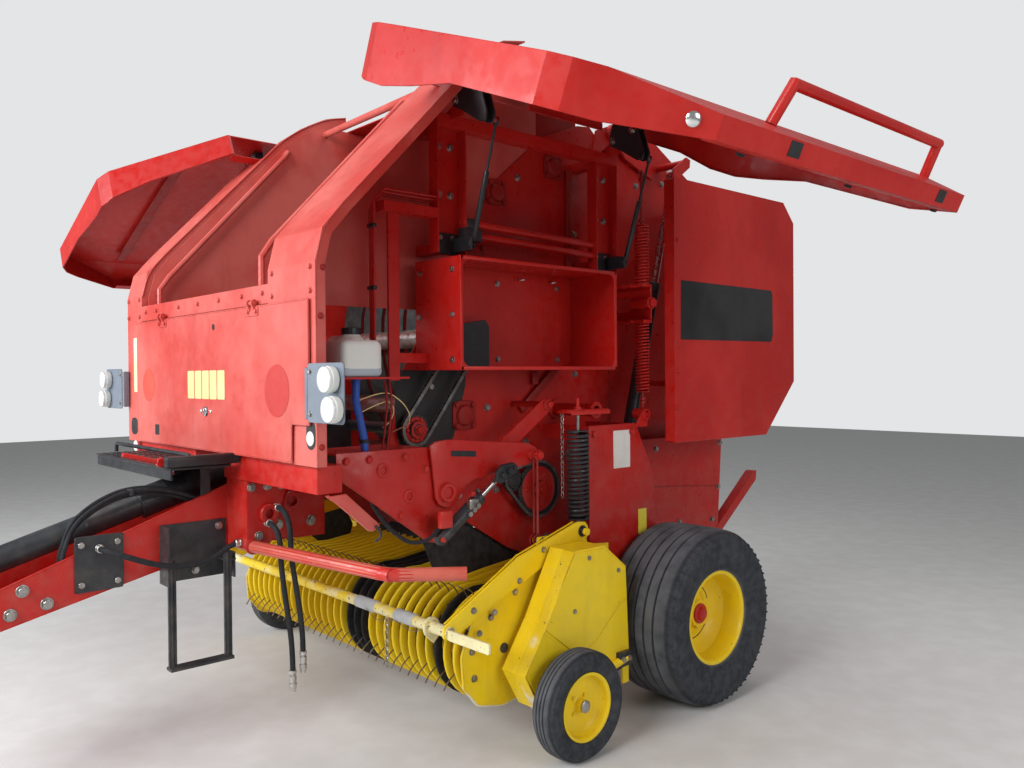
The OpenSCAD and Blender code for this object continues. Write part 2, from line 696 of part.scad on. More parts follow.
module door(side) {
    color(red) at_datum() mirror([side < 0 ? 1 : 0, 0, 0])
        translate([door_hinge_x, 0, door_hinge_z]) rotate([0, -door_open, 0])
            translate([-door_hinge_x, 0, -door_hinge_z]) {
                door_closed();
                door_handle();
            }
}

// Gas struts of the doors
strut_top = [door_hinge_x, door_hinge_z] + strut_eye;
strut_dir = unit(strut_top - strut_foot);
strut_len = norm(strut_top - strut_foot);
module strut_part(side, from, to, r) {
    for (y = hinge_places) mirror([side < 0 ? 1 : 0, 0, 0])
        bar([strut_foot[0] + strut_dir[0] * from, y + 52, strut_foot[1] + strut_dir[1] * from],
            [strut_foot[0] + strut_dir[0] * to, y + 52, strut_foot[1] + strut_dir[1] * to], r);
}

module strut_barrels(side) {
    color(dark) at_datum() difference() {
        union() {
            strut_part(side, 0, 300, 11);
            for (y = hinge_places) mirror([side < 0 ? 1 : 0, 0, 0])
                translate([strut_foot[0], y + 58, strut_foot[1]]) rotate([90, 0, 0]) cylinder(h = 12,
                    r = 14);
        }
        strut_part(side, 20, 301, 6);
        for (y = hinge_places) mirror([side < 0 ? 1 : 0, 0, 0])
            translate([strut_foot[0], y + 63, strut_foot[1]]) rotate([90, 0, 0]) cylinder(h = 22,
                r = 6 + run_gap);
    }
}

module strut_rods(side) {
    color(grey) at_datum() {
        strut_part(side, 140, strut_len, 5.9);
        for (y = hinge_places) mirror([side < 0 ? 1 : 0, 0, 0])
            translate([strut_top[0], y + 58, strut_top[1]]) rotate([90, 0, 0]) cylinder(h = 12, r = 12);
    }
}

// Tailgate
gate_outline = [[80, 2740], [130, 2860], [350, 2880], [760, 2660], [1030, 2330], [1150, 1900], [1120, 1450],
    [900, 1060], [560, 800], [80, 700]];
gate_cavity = [[split_y + 60, 2700], [330, 2800], [700, 2590], [960, 2290], [1070, 1880], [1040, 1480],
    [840, 1130], [540, 890], [split_y + 60, 790]];
gate_plate = [[150, 700], [600, 690], [820, 640], [860, 680], [900, 1205], [150, 1205]];
gate_channel = [[812, 640], [840, 600], [1252, 905], [1260, 960], [1230, 960]];
module tailgate_frame() {
    color(red) at_datum() {
        both_sides() {
            side_plate(gate_outline, wall_in, wall_out);
            difference() {
                side_plate([[gate_hinge_y - 40, gate_hinge_z - 8], [gate_hinge_y, gate_hinge_z + 40],
                    [400, 2760],
                    [400, 2600], [180, 2680], [gate_hinge_y, gate_hinge_z - 42]], wall_out + 20,
                        wall_out + 36);
                cross_bar([gate_hinge_y, gate_hinge_z], wall_out + 19, wall_out + 37, gate_pin_r + run_gap);
            }
            block([wall_out - 1, 230, 2660], [wall_out + 21, 390, 2740]);
            cross_bar([490, 2680], wall_out - 1, gate_x + 22, 18);
            side_plate([[370, 2575], [385, 2565], [510, 2655], [515, 2695], [480, 2705], [375, 2630]],
                gate_x + 21, gate_x + 31);
            side_plate(gate_plate, 750, 756);
            side_plate(gate_channel, 700, 756);
            for (p = [[200, 760], [600, 760], [200, 1150], [700, 1150]]) cross_bar(p, wall_out - 1,
                751, 16);
            for (p = [[300, 1500], [700, 1300], [560, 2420], [850, 2250], [1000, 1750]])
                cross_bar(p, wall_out - 1, shield_x - 6 - seat, 18);
        }
        side_plate([[350, 2880], [760, 2660], [1030, 2330], [1150, 1900], [1144, 1899], [1024, 2327],
            [757, 2654],
            [348, 2873]], -wall_in + seat, wall_in - seat);
    }
}

shield_outline = [[85, 1210], [894, 1210], [1186, 1500], [1186, 2400], [1080, 2505], [85, 2505]];
module tailgate_shields() {
    color(red) at_datum() both_sides() {
        side_plate(shield_outline, shield_x - 6, shield_x);
        block([shield_x - 60, 85, 1215], [shield_x - 1, 91, 2500]);
        block([shield_x - 60, 1180, 1500], [shield_x - 1, 1186, 2400]);
    }
}

module tailgate_rollers() {
    color(grey) at_datum() for (a = [-52, -26, 0, 26, 50]) roller_at(a, roller_r);
}

module tailgate_belts() { color(dark) at_datum() belts(-56, 54); }

// Cylinders that raise the tailgate
gate_foot = [0, 1150];
gate_eye = [400, 2600];
gate_dir = unit(gate_eye - gate_foot);
gate_len = norm(gate_eye - gate_foot);
gate_x = 800;
module gate_barrels() {
    color(dark) at_datum() both_sides() difference() {
        union() {
            bar([gate_x, gate_foot[0], gate_foot[1]], [gate_x, gate_foot[0] + gate_dir[0] * 900,
                gate_foot[1] + gate_dir[1] * 900], 32);
            cross_bar(gate_foot, gate_x - 22, gate_x + 22, 36);
        }
        bar([gate_x, gate_foot[0] + gate_dir[0] * 60, gate_foot[1] + gate_dir[1] * 60],
            [gate_x, gate_foot[0] + gate_dir[0] * 901, gate_foot[1] + gate_dir[1] * 901], 20);
        cross_bar(gate_foot, gate_x - 40, gate_x + 40, 18 + run_gap);
    }
}

module gate_rods() {
    color(grey) at_datum() both_sides() {
        bar([gate_x, gate_foot[0] + gate_dir[0] * 120, gate_foot[1] + gate_dir[1] * 120], [gate_x,
            gate_eye[0], gate_eye[1]], 19.9);
        cross_bar(gate_eye, gate_x - 18, gate_x + 18, 34);
    }
}

// Pickup
band_span = band_pitch * (band_count - 1);
reel_end_x = 965;
pickup_cheek = [[-1180, 300], [-1190, 430], [-1110, 590], [-960, 660], [-700, 800], [-320, 760], [-320,
    640],
    [-480, 560], [-700, 330], [-860, 200], [-980, 185], [-1110, 215]];
case_outline = [[-920, 190], [-1010, 350], [-880, 540], [-730, 810], [-540, 810], [-400, 700], [-380, 300],
    [-520, 210]];
module pickup_frame() {
    color(yellow) at_datum() {
        both_sides() {
            difference() {
                side_plate(pickup_cheek, reel_end_x, reel_end_x + 8);
                cross_bar([reel_y, reel_z], reel_end_x - 1, reel_end_x + 9, 20 + run_gap);
            }
            side_plate(case_outline, 1006, 1145);
            for (p = [[-500, 350], [-760, 420], [-700, 640]]) cross_bar(p, reel_end_x + 7, 1007, 18);
            difference() {
                block([866, -560, 630], [878, -310, 760]);
                cross_bar([lift_y, lift_z], 865, 879, 20 + run_gap);
            }
            block([1130, -420, 180], [1142, -380, 360]);
            difference() {
                bar([1160, -420, 300], [1160, gauge_y, gauge_d / 2], 18);
                cross_bar([gauge_y, gauge_d / 2], 1100, 1300, 11);
            }
            cross_bar([gauge_y, gauge_d / 2], 1145, gauge_x + 30, 12);
            cross_bar([-420, 300], 1100, 1165, 20);
            cross_bar([-740, 830], reel_end_x - 60, 980, 9);
            side_plate([[-780, 760], [-700, 770], [-710, 850], [-770, 850]], reel_end_x, reel_end_x + 8);
            cross_bar([-520, 850], 940, 1030, 16);
            side_plate([[-580, 790], [-460, 780], [-490, 875], [-550, 875]], reel_end_x, reel_end_x + 8);
        }
        block([-reel_end_x - 1, -700, 560], [reel_end_x + 1, -600, 640]);
        block([-878, -601, 600], [878, -540, 640]);
        both_sides() block([938, -505, 740], [975, -485, 820 - seat]);
    }
}

module pickup_strippers() {
    color(yellow) at_datum() for (i = [0 : band_count - 1]) {
        x = -band_span / 2 + i * band_pitch;
        translate([x - band_w / 2, 0, 0]) rotate([90, 0, 90]) linear_extrude(band_w) difference() {
            union() {
                translate([reel_y, reel_z]) circle(r = band_r);
                polygon([[reel_y, reel_z + band_r], [reel_y + 60, reel_z + band_r - 4], [-600, 662],
                    [-600, 640 + seat],
                    [-700 - seat, 640 + seat], [-700 - seat, 560], [reel_y + 140, 260], [reel_y,
                        reel_z - band_r]]);
            }
            translate([reel_y, reel_z]) circle(r = band_r - 6);
            polygon([[reel_y, reel_z + band_r - 6], [reel_y + 60, reel_z + band_r - 12], [-706, 630],
                [-706, 560],
                [reel_y + 134, 266], [reel_y, reel_z - band_r + 6]]);
        }
    }
}

module pickup_flap() {
    color(dark) at_datum() side_plate([[-599, 640 + seat], [-560, 640 + seat], [-460, 690], [-466,
        702]], -600, 600);
}

tine_bars = 4;
bar_ring = 150;
module pickup_reel() {
    color(grey) at_datum() translate([0, reel_y, reel_z]) {
        cross_bar([0, 0], -reel_end_x - 8, reel_end_x + 8, 20);
        for (x = [-reel_end_x + 12, -320, 320, reel_end_x - 20]) cross_bar([0, 0], x, x + 8, bar_ring + 20);
        for (k = [0 : tine_bars - 1]) rotate([k * 360 / tine_bars + 20, 0, 0]) {
            cross_bar([0, bar_ring], -reel_end_x + 12, reel_end_x - 12, 14);
            for (i = [0 : band_count - 2]) {
                x = -band_span / 2 + (i + 0.5) * band_pitch;
                translate([x, 0, bar_ring]) cylinder(h = tine_r - bar_ring, d = tine_d, $fn = 6);
            }
        }
    }
}

// The wind guard's tube, clear of the tine tips
guard_at = [-1270, 548];
module windguard() {
    color(yellow) at_datum() {
        cross_bar(guard_at, -1000, 1000, 22);
        both_sides() {
            difference() {
                side_plate([[-1294, 524], [-1294, 572], [-900, 785], [-560, 885], [-485, 885], [-485, 815],
                    [-640, 780], [-960, 650], [-1246, 524]], 986, 996);
                cross_bar([-520, 850], 985, 997, 16 + run_gap);
            }
        }
        block([999, guard_at[0] - 15, guard_at[1] - 25], [1250, guard_at[0] - 5, guard_at[1] + 15]);
    }
}

// Link, rods and cylinder that lift the pickup
link_rear = [-740, 1200];
link_eye = [-930, 1150];
rod_foot = [-740, 830];
module lift_link() {
    color(red) at_datum() {
        difference() {
            side_plate([[-1290, 1270], [-1200, 1290], [-760, 1250], [-700, 1215], [-710, 1170], [-1060,
                1120],
                [-1150, 1040], [-1200, 1020], [-1260, 1050]], 896, 906);
            cross_bar(link_pivot, 895, 907, 30 + run_gap);
            side_plate([[-1180, 1225], [-1060, 1215], [-1060, 1238], [-1180, 1248]], 895, 907);
        }
        cross_bar(link_eye, 905, 958, 10);
        cross_bar(link_rear, 905, 950, 12);
        for (x = [918, 940]) difference() {
            union() {
                bar([x, link_rear[0], link_rear[1]], [x, rod_foot[0], rod_foot[1] + 20], 6);
                cross_bar(rod_foot, x - 5, x + 5, 27);
            }
            cross_bar(rod_foot, x - 6, x + 6, 19);
        }
    }
}

lift_dir = unit(link_eye - lift_foot);
lift_len = norm(link_eye - lift_foot);
function lift_at(s) = [940, lift_foot[0] + lift_dir[0] * s, lift_foot[1] + lift_dir[1] * s];
module lift_barrel() {
    color(dark) at_datum() difference() {
        union() {
            bar(lift_at(0), lift_at(250), 27);
            cross_bar(lift_foot, 925, 955, 28);
        }
        bar(lift_at(40), lift_at(251), 14);
        cross_bar(lift_foot, 900, 980, 12 + run_gap);
    }
}

module lift_rod() {
    color(grey) at_datum() difference() {
        union() {
            bar(lift_at(80), lift_at(lift_len), 13.9);
            cross_bar(link_eye, 928, 952, 24);
        }
        cross_bar(link_eye, 925, 955, 14);
    }
}

// Parking jack
jack_x0 = 166;
module jack_leg() {
    color(dark) at_datum() {
        difference() {
            union() {
                translate([jack_x0 + 27, jack_y, 10]) cylinder(h = 790, r = 27);
                cross_bar([jack_y, jack_pin_z], jack_x0, jack_x0 + 40, 34);
            }
            cross_bar([jack_y, jack_pin_z], jack_x0 - 1, 230, 15 + run_gap);
        }
        block([jack_x0 - 60, jack_y - 90, 0], [jack_x0 + 114, jack_y + 90, 12]);
    }
}

axle_beam();
side_walls();
front_posts();
roof();
door_frames();
chamber_rollers();
chamber_belts();
drawbar();
driveline_shaft();
gearbox();
platform();
twine_boxes();
oil_tank();
oil_lines();
lamps();
chain_drives();
tension_springs();
lift_springs();
side_channels();
hoses();
hose_couplers();
front_panel();
door(1);  // door_left
door(-1);  // door_right
strut_barrels(1);  // strut_barrels_left
strut_rods(1);  // strut_rods_left
strut_barrels(-1);  // strut_barrels_right
strut_rods(-1);  // strut_rods_right
tailgate_frame();
tailgate_shields();
tailgate_rollers();
tailgate_belts();
gate_barrels();
gate_rods();
pickup_frame();
pickup_strippers();
pickup_flap();
pickup_reel();
windguard();
lift_link();
lift_barrel();
lift_rod();
gauge_tyre(1);  // gauge_tyre_left
gauge_tyre(-1);  // gauge_tyre_right
gauge_rim(1);  // gauge_rim_left
gauge_rim(-1);  // gauge_rim_right
tyre(1);  // tyre_left
tyre(-1);  // tyre_right
rim(1);  // rim_left
rim(-1);  // rim_right
jack_leg();
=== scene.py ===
"""Looks of the round baler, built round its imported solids."""

import math

import bpy
from mathutils import Matrix, Vector


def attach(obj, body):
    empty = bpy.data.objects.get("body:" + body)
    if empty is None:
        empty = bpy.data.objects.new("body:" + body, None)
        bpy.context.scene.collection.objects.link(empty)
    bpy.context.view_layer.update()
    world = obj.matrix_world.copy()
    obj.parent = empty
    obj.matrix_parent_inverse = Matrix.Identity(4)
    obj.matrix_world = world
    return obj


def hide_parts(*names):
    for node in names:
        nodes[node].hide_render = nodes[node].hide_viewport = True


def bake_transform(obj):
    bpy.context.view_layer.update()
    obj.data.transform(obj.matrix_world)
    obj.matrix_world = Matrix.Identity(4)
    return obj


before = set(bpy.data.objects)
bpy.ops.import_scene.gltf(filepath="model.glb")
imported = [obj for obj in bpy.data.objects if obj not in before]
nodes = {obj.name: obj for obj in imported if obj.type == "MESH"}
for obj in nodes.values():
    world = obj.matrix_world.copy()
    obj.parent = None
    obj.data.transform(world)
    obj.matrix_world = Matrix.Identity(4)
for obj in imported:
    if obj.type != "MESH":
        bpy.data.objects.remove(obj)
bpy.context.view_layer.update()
scene = bpy.context.scene

# The source measures along the machine from a datum line; the frame's origin lies this far ahead of it.
DATUM_Y = 0.9
PHOTO_SIZE = (1024, 768)
FOCAL_PIXELS = 863.93
CAMERA_PLACE = (3.654, -3.318 + DATUM_Y, 1.55)
CAMERA_TURN = math.radians(48.107)
CAMERA_PITCH = math.radians(-0.6285)
CAMERA_ROLL = math.radians(-0.436)


def point(x, y, z):
    """A place given in millimetres from the datum line, as metres in the frame."""
    return Vector((x / 1000, y / 1000 + DATUM_Y, z / 1000))


# Camera, lamps and floor


def aim_camera():
    """The photograph's camera, as solved from it."""
    lens = bpy.data.cameras.new("photo_view")
    lens.sensor_width = 36
    lens.lens = FOCAL_PIXELS * lens.sensor_width / PHOTO_SIZE[0]
    lens.clip_end = 100
    camera = bpy.data.objects.new("photo_view", lens)
    scene.collection.objects.link(camera)
    ahead = Vector((-math.sin(CAMERA_TURN) * math.cos(CAMERA_PITCH),
                    math.cos(CAMERA_TURN) * math.cos(CAMERA_PITCH), math.sin(CAMERA_PITCH)))
    level = Vector((math.cos(CAMERA_TURN), math.sin(CAMERA_TURN), 0))
    lift = level.cross(ahead)
    right = math.cos(CAMERA_ROLL) * level + math.sin(CAMERA_ROLL) * lift
    up = -math.sin(CAMERA_ROLL) * level + math.cos(CAMERA_ROLL) * lift
    turn = Matrix((right, up, -ahead)).transposed().to_4x4()
    camera.matrix_world = Matrix.Translation(CAMERA_PLACE) @ turn
    scene.camera = camera


def area_lamp(name, place, target, size, power, colour=(1, 1, 1)):
    """A rectangular lamp that faces its target."""
    data = bpy.data.lights.new(name, "AREA")
    data.shape = "RECTANGLE"
    data.size, data.size_y = size
    data.energy = power
    data.color = colour
    lamp = bpy.data.objects.new(name, data)
    scene.collection.objects.link(lamp)
    lamp.location = place
    lamp.rotation_euler = (Vector(target) - Vector(place)).to_track_quat("-Z", "Y").to_euler()


def light_studio():
    """A pale world, a little brighter to the camera than as light, and four soft lamps."""
    scene.view_settings.view_transform = "Standard"
    world = bpy.data.worlds.new("studio")
    scene.world = world
    world.use_nodes = True
    tree = world.node_tree
    shade = tree.nodes["Background"]
    shade.inputs["Color"].default_value = (0.86, 0.88, 0.9, 1)
    shade.inputs["Strength"].default_value = 0.27
    seen = tree.nodes.new("ShaderNodeBackground")
    seen.inputs["Color"].default_value = (0.86, 0.87, 0.88, 1)
    seen.inputs["Strength"].default_value = 0.9
    rays = tree.nodes.new("ShaderNodeLightPath")
    pick = tree.nodes.new("ShaderNodeMixShader")
    tree.links.new(rays.outputs["Is Camera Ray"], pick.inputs["Fac"])
    tree.links.new(shade.outputs[0], pick.inputs[1])
    tree.links.new(seen.outputs[0], pick.inputs[2])
    tree.links.new(pick.outputs[0], tree.nodes["World Output"].inputs["Surface"])
    area_lamp("front_left", (1.8, -7.0, 4.6), (0, -0.4, 1.2), (3.5, 3.0), 420, (0.97, 0.985, 1))
    area_lamp("front_right", (-3.4, -6.4, 3.2), (0, -0.6, 1.2), (3.0, 3.0), 330, (0.92, 0.96, 1))
    area_lamp("left_side", (6.5, 0.6, 3.0), (0.6, 0.2, 1.2), (3.0, 2.6), 85)
    area_lamp("overhead", (0.2, 0.6, 7.0), (0, 0, 1.0), (5.0, 5.0), 170)


aim_camera()
light_studio()


# Finishes


class Finish:
    """A painted, rubber, metal or plastic surface put together from shader nodes."""

    def __init__(self, name, rough=0.5, metal=0.0, coat=0.0, specular=0.5):
        self.material = bpy.data.materials.new(name)
        self.material.use_nodes = True
        self.tree = self.material.node_tree
        self.shader = self.tree.nodes["Principled BSDF"]
        self.shader.inputs["Roughness"].default_value = rough
        self.shader.inputs["Metallic"].default_value = metal
        self.shader.inputs["Coat Weight"].default_value = coat
        self.shader.inputs["Coat Roughness"].default_value = 0.15
        self.shader.inputs["Specular IOR Level"].default_value = specular
        self.place = self.tree.nodes.new("ShaderNodeTexCoord").outputs["Object"]

    def add(self, kind, **settings):
        node = self.tree.nodes.new(kind)
        for key, value in settings.items():
            setattr(node, key, value)
        return node

    def link(self, source, target):
        self.tree.links.new(source, target)
        return source

    def noise(self, scale, detail=3.0, stretch=(1, 1, 1), rough=0.55):
        source = self.place
        if stretch != (1, 1, 1):
            mapping = self.add("ShaderNodeMapping")
            mapping.inputs["Scale"].default_value = stretch
            self.link(source, mapping.inputs["Vector"])
            source = mapping.outputs["Vector"]
        node = self.add("ShaderNodeTexNoise")
        node.inputs["Scale"].default_value = scale
        node.inputs["Detail"].default_value = detail
        node.inputs["Roughness"].default_value = rough
        self.link(source, node.inputs["Vector"])
        return node.outputs["Fac"]

    def ramp(self, source, low, high, low_value=0.0, high_value=1.0):
        node = self.add("ShaderNodeMapRange")
        node.interpolation_type = "SMOOTHSTEP"
        node.inputs["From Min"].default_value = low
        node.inputs["From Max"].default_value = high
        node.inputs["To Min"].default_value = low_value
        node.inputs["To Max"].default_value = high_value
        self.link(source, node.inputs["Value"])
        return node.outputs["Result"]

    def math(self, operation, first, second):
        node = self.add("ShaderNodeMath", operation=operation)
        for socket, value in zip(node.inputs, (first, second)):
            if isinstance(value, (int, float)):
                socket.default_value = value
            else:
                self.link(value, socket)
        return node.outputs[0]

    def mix(self, factor, first, second):
        node = self.add("ShaderNodeMix", data_type="RGBA")
        if isinstance(factor, (int, float)):
            node.inputs["Factor"].default_value = factor
        else:
            self.link(factor, node.inputs["Factor"])
        for socket, value in ((node.inputs[6], first), (node.inputs[7], second)):
            if isinstance(value, tuple):
                socket.default_value = (*value, 1)
            else:
                self.link(value, socket)
        return node.outputs[2]

    def axis(self, which):
        node = self.add("ShaderNodeSeparateXYZ")
        self.link(self.place, node.inputs[0])
        return node.outputs[which]

    def colour(self, source):
        self.link(source, self.shader.inputs["Base Color"])

    def roughness(self, source, low, high):
        self.link(self.ramp(source, 0.3, 0.7, low, high), self.shader.inputs["Roughness"])

    def bump(self, source, strength, distance=0.002, edge=0.0):
        """Fine unevenness, with sheet metal edges softened over a small radius."""
        node = self.add("ShaderNodeBump")
        node.inputs["Strength"].default_value = strength
        node.inputs["Distance"].default_value = distance
        self.link(source, node.inputs["Height"])
        if edge:
            soft = self.add("ShaderNodeBevel", samples=4)
            soft.inputs["Radius"].default_value = edge
            self.link(soft.outputs["Normal"], node.inputs["Normal"])
        self.link(node.outputs["Normal"], self.shader.inputs["Normal"])


DUST = (0.30, 0.24, 0.18)
RUST = (0.16, 0.055, 0.02)


def paint(name, base, faded, rough=0.4, fade=(0.42, 0.62), dust=0.2, chips=0.76, bare=RUST):
    """Machine paint: faded in patches, dusty low down, chipped through in small spots."""
    finish = Finish(name, rough=rough, coat=0.12, specular=0.35)
    patches = finish.ramp(finish.noise(1.7, 5), *fade)
    tone = finish.mix(patches, base, faded)
    streaks = finish.ramp(finish.noise(9, 4, stretch=(1, 1, 0.18)), 0.52, 0.72, 0.0, 0.2)
    tone = finish.mix(streaks, tone, tuple(c * 0.62 for c in base))
    height = finish.ramp(finish.axis(2), 0.15, 1.7, 1.0, 0.12)
    dirt = finish.math("MULTIPLY", finish.ramp(finish.noise(14, 6, rough=0.65), 0.38, 0.72), height)
    tone = finish.mix(finish.math("MULTIPLY", dirt, dust), tone, DUST)
    chipped = finish.ramp(finish.noise(75, 3), chips, chips + 0.03)
    tone = finish.mix(chipped, tone, bare)
    finish.colour(tone)
    finish.roughness(finish.noise(22, 5), rough - 0.1, rough + 0.2)
    finish.bump(finish.noise(160, 2), 0.12, 0.0006, 0.0035)
    return finish.material


def rubber(name, base, dusty, dust=0.6, bump=0.35, scale=26):
    """Rubber or plastic with dust in large and small patches."""
    finish = Finish(name, rough=0.8, specular=0.3)
    tone = finish.mix(finish.ramp(finish.noise(scale, 7, rough=0.7), 0.35, 0.68, 0.0, dust), base, dusty)
    tone = finish.mix(finish.ramp(finish.noise(4, 4), 0.45, 0.75, 0.0, dust * 0.6), tone, dusty)
    finish.colour(tone)
    finish.roughness(finish.noise(30, 4), 0.7, 0.92)
    finish.bump(finish.noise(180, 4), bump, 0.001)
    return finish.material


def metal(name, base, worn, rough=0.35, rust=0.0):
    """Bare metal: worn in patches, with rust where it is asked for."""
    finish = Finish(name, rough=rough, metal=1.0)
    tone = finish.mix(finish.ramp(finish.noise(18, 5), 0.4, 0.7), base, worn)
    if rust:
        tone = finish.mix(finish.ramp(finish.noise(30, 6, rough=0.7), 0.5, 0.7, 0.0, rust), tone, RUST)
    finish.colour(tone)
    finish.roughness(finish.noise(60, 3), rough - 0.08, rough + 0.15)
    finish.bump(finish.noise(220, 2), 0.1, 0.0004)
    return finish.material


RED = paint("red_paint", (0.48, 0.009, 0.006), (0.56, 0.020, 0.014), rough=0.36)
# Faded red, made paler and pinker still as painted sheen of the bright light on the front.
RED_FADED_AND_SHEEN = paint("faded_red_paint_and_painted_sheen", (0.58, 0.050, 0.038), (0.68, 0.15, 0.125), rough=0.42, fade=(0.34, 0.66))
GUARD_RED = paint("guard_tube_paint", (0.56, 0.080, 0.050), (0.64, 0.17, 0.12), rough=0.4, fade=(0.34, 0.66))
# Painted shade: a darker copy of the red paint for parts that lie in shadow inside and along the sides.
RED_SHADED = paint("shaded_red_paint", (0.30, 0.008, 0.006), (0.37, 0.014, 0.010), rough=0.45)
YELLOW = paint("yellow_paint", (0.90, 0.62, 0.004), (0.94, 0.68, 0.012), bare=(0.10, 0.08, 0.06),
               chips=0.72, dust=0.1)
BLACK = paint("black_paint", (0.014, 0.016, 0.020), (0.03, 0.033, 0.038), rough=0.42, bare=(0.2, 0.19, 0.18))
GREY = paint("grey_paint", (0.17, 0.20, 0.25), (0.23, 0.26, 0.31), rough=0.5)
TYRE = rubber("tyre_rubber", (0.026, 0.030, 0.037), (0.060, 0.066, 0.076), dust=0.32)
BELT = rubber("belt_rubber", (0.018, 0.018, 0.019), (0.08, 0.075, 0.07), dust=0.4)
HOSE = rubber("hose_rubber", (0.014, 0.015, 0.018), (0.05, 0.05, 0.055), dust=0.4, scale=60)
STEEL = metal("bare_steel", (0.45, 0.44, 0.42), (0.28, 0.26, 0.24), rust=0.35)
BRIGHT = metal("bright_rod", (0.56, 0.56, 0.57), (0.44, 0.44, 0.45), rough=0.2)
ZINC = metal("zinc_fastener", (0.62, 0.61, 0.58), (0.42, 0.40, 0.36), rough=0.38, rust=0.2)
TINE = metal("tine_steel", (0.36, 0.33, 0.29), (0.22, 0.17, 0.13), rough=0.4, rust=0.5)


def dress(names, material):
    """Give CAD pieces one material."""
    for name in names.split():
        piece = nodes[name]
        piece.data.materials.clear()
        piece.data.materials.append(material)


dress("axle_beam side_walls roof door_frames drawbar twine_boxes oil_lines side_channels tension_springs "
      "door_left door_right tailgate_frame tailgate_shields lift_link", RED)
dress("front_posts front_panel", RED_FADED_AND_SHEEN)
dress("pickup_frame pickup_strippers windguard rim_left rim_right gauge_rim_left gauge_rim_right", YELLOW)
dress("driveline_shaft gearbox platform chain_drives lift_springs strut_barrels_left strut_barrels_right "
      "gate_barrels lift_barrel jack_leg", BLACK)
dress("lamps oil_tank", GREY)
dress("chamber_rollers tailgate_rollers hose_couplers", STEEL)
dress("gate_rods lift_rod strut_rods_left strut_rods_right", BRIGHT)
dress("pickup_reel", TINE)
dress("tyre_left tyre_right gauge_tyre_left gauge_tyre_right", TYRE)
dress("chamber_belts tailgate_belts pickup_flap", BELT)
dress("hoses", HOSE)


# Modelling


def only(*pieces):
    """Select these pieces and nothing else."""
    bpy.ops.object.select_all(action="DESELECT")
    for piece in pieces:
        piece.select_set(True)
    if pieces:
        bpy.context.view_layer.objects.active = pieces[0]


def shape(piece, kind, **settings):
    """Give a piece a modifier and apply it."""
    only(piece)
    modifier = piece.modifiers.new("shape", kind)
    for key, value in settings.items():
        setattr(modifier, key, value)
    bpy.ops.object.modifier_apply(modifier=modifier.name)
    return piece


def bevel(piece, width, segments=2, angle=35):
    """Round a piece's edges that are sharper than an angle in degrees."""
    return shape(piece, "BEVEL", width=width, segments=segments, limit_method="ANGLE",
                 angle_limit=math.radians(angle))


def settle(piece):
    """Apply a piece's place, turn and scale to its mesh."""
    only(piece)
    bpy.ops.object.transform_apply(location=True, rotation=True, scale=True)
    return piece


def close_up(piece):
    """Merge doubled points, drop loose edges and turn the faces outwards."""
    only(piece)
    bpy.ops.object.mode_set(mode="EDIT")
    bpy.ops.mesh.select_all(action="SELECT")
    bpy.ops.mesh.remove_doubles(threshold=0.00001)
    bpy.ops.mesh.delete_loose()
    bpy.ops.mesh.select_all(action="SELECT")
    bpy.ops.mesh.normals_make_consistent(inside=False)
    bpy.ops.object.mode_set(mode="OBJECT")
    return piece


def join(pieces):
    """Join pieces into the first of them."""
    only(*pieces)
    if len(pieces) > 1:
        bpy.ops.object.join()
    return pieces[0]


def repeat(piece, moves):
    """Copies of a piece at each move, joined into one; the pattern piece goes."""
    copies = []
    for move in moves:
        copy = piece.copy()
        copy.data = piece.data.copy()
        copy.data.transform(move)
        if move.determinant() < 0:
            copy.data.flip_normals()
        scene.collection.objects.link(copy)
        copies.append(copy)
    bpy.data.objects.remove(piece)
    return join(copies)


MIRROR = Matrix.Scale(-1, 4, (1, 0, 0))


def both_sides(piece):
    """A piece and its mirror image, joined."""
    return repeat(piece, [Matrix.Identity(4), MIRROR])


def mirrored(piece):
    """The mirror image of a piece, in its place."""
    return repeat(piece, [MIRROR])


def finished(piece, name, material, smooth=32):
    """Name a piece, give it its material and smooth its faces up to an angle."""
    piece.name = name
    piece.data.name = name
    piece.data.materials.clear()
    piece.data.materials.append(material)
    only(piece)
    bpy.ops.object.shade_smooth_by_angle(angle=math.radians(smooth))
    return piece


def fit(piece, name, material, body, replaced="", smooth=32):
    """Finish a piece, and let it ride on its body."""
    finished(piece, name, material, smooth)
    if replaced:
        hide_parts(*replaced.split())
    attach(piece, body)
    return piece


def fit_pair(parts, body, smooth=32):
    """Fit each part to the left body, and its mirror image to the right one."""
    for side_name in ("left", "right"):
        for make, name, material, replaced in parts:
            made = make() if side_name == "left" else mirrored(make())
            fit(made, name + side_name, material, body + side_name, replaced + side_name if replaced
                else "", smooth)


def spot(axis, along, first, second):
    """A point on a plane square to an axis, in millimetres from the datum line."""
    return {"X": point(along, first, second), "Y": point(first, along, second),
            "Z": point(first, second, along)}[axis]


def profile_object(places, closed=True):
    """A line of points, made from a circle whose points are moved to their places."""
    only()
    bpy.ops.mesh.primitive_circle_add(vertices=len(places), fill_type="NOTHING")
    piece = bpy.context.object
    for vertex, place in zip(piece.data.vertices, places):
        vertex.co = place
    if not closed:
        bpy.ops.object.mode_set(mode="EDIT")
        bpy.ops.mesh.select_mode(type="EDGE")
        bpy.ops.mesh.select_all(action="DESELECT")
        bpy.ops.object.mode_set(mode="OBJECT")
        for edge in piece.data.edges:
            edge.select = set(edge.vertices) == {0, len(places) - 1}
        bpy.ops.object.mode_set(mode="EDIT")
        bpy.ops.mesh.delete(type="EDGE")
        bpy.ops.mesh.select_mode(type="VERT")
        bpy.ops.object.mode_set(mode="OBJECT")
    return piece


def draw_out(axis, start, end):
    """Draw the selected outline out along an axis, and leave edit mode."""
    bpy.ops.mesh.extrude_region_move(
        TRANSFORM_OT_translate={"value": spot(axis, end, 0, 0) - spot(axis, start, 0, 0)})
    bpy.ops.object.mode_set(mode="OBJECT")


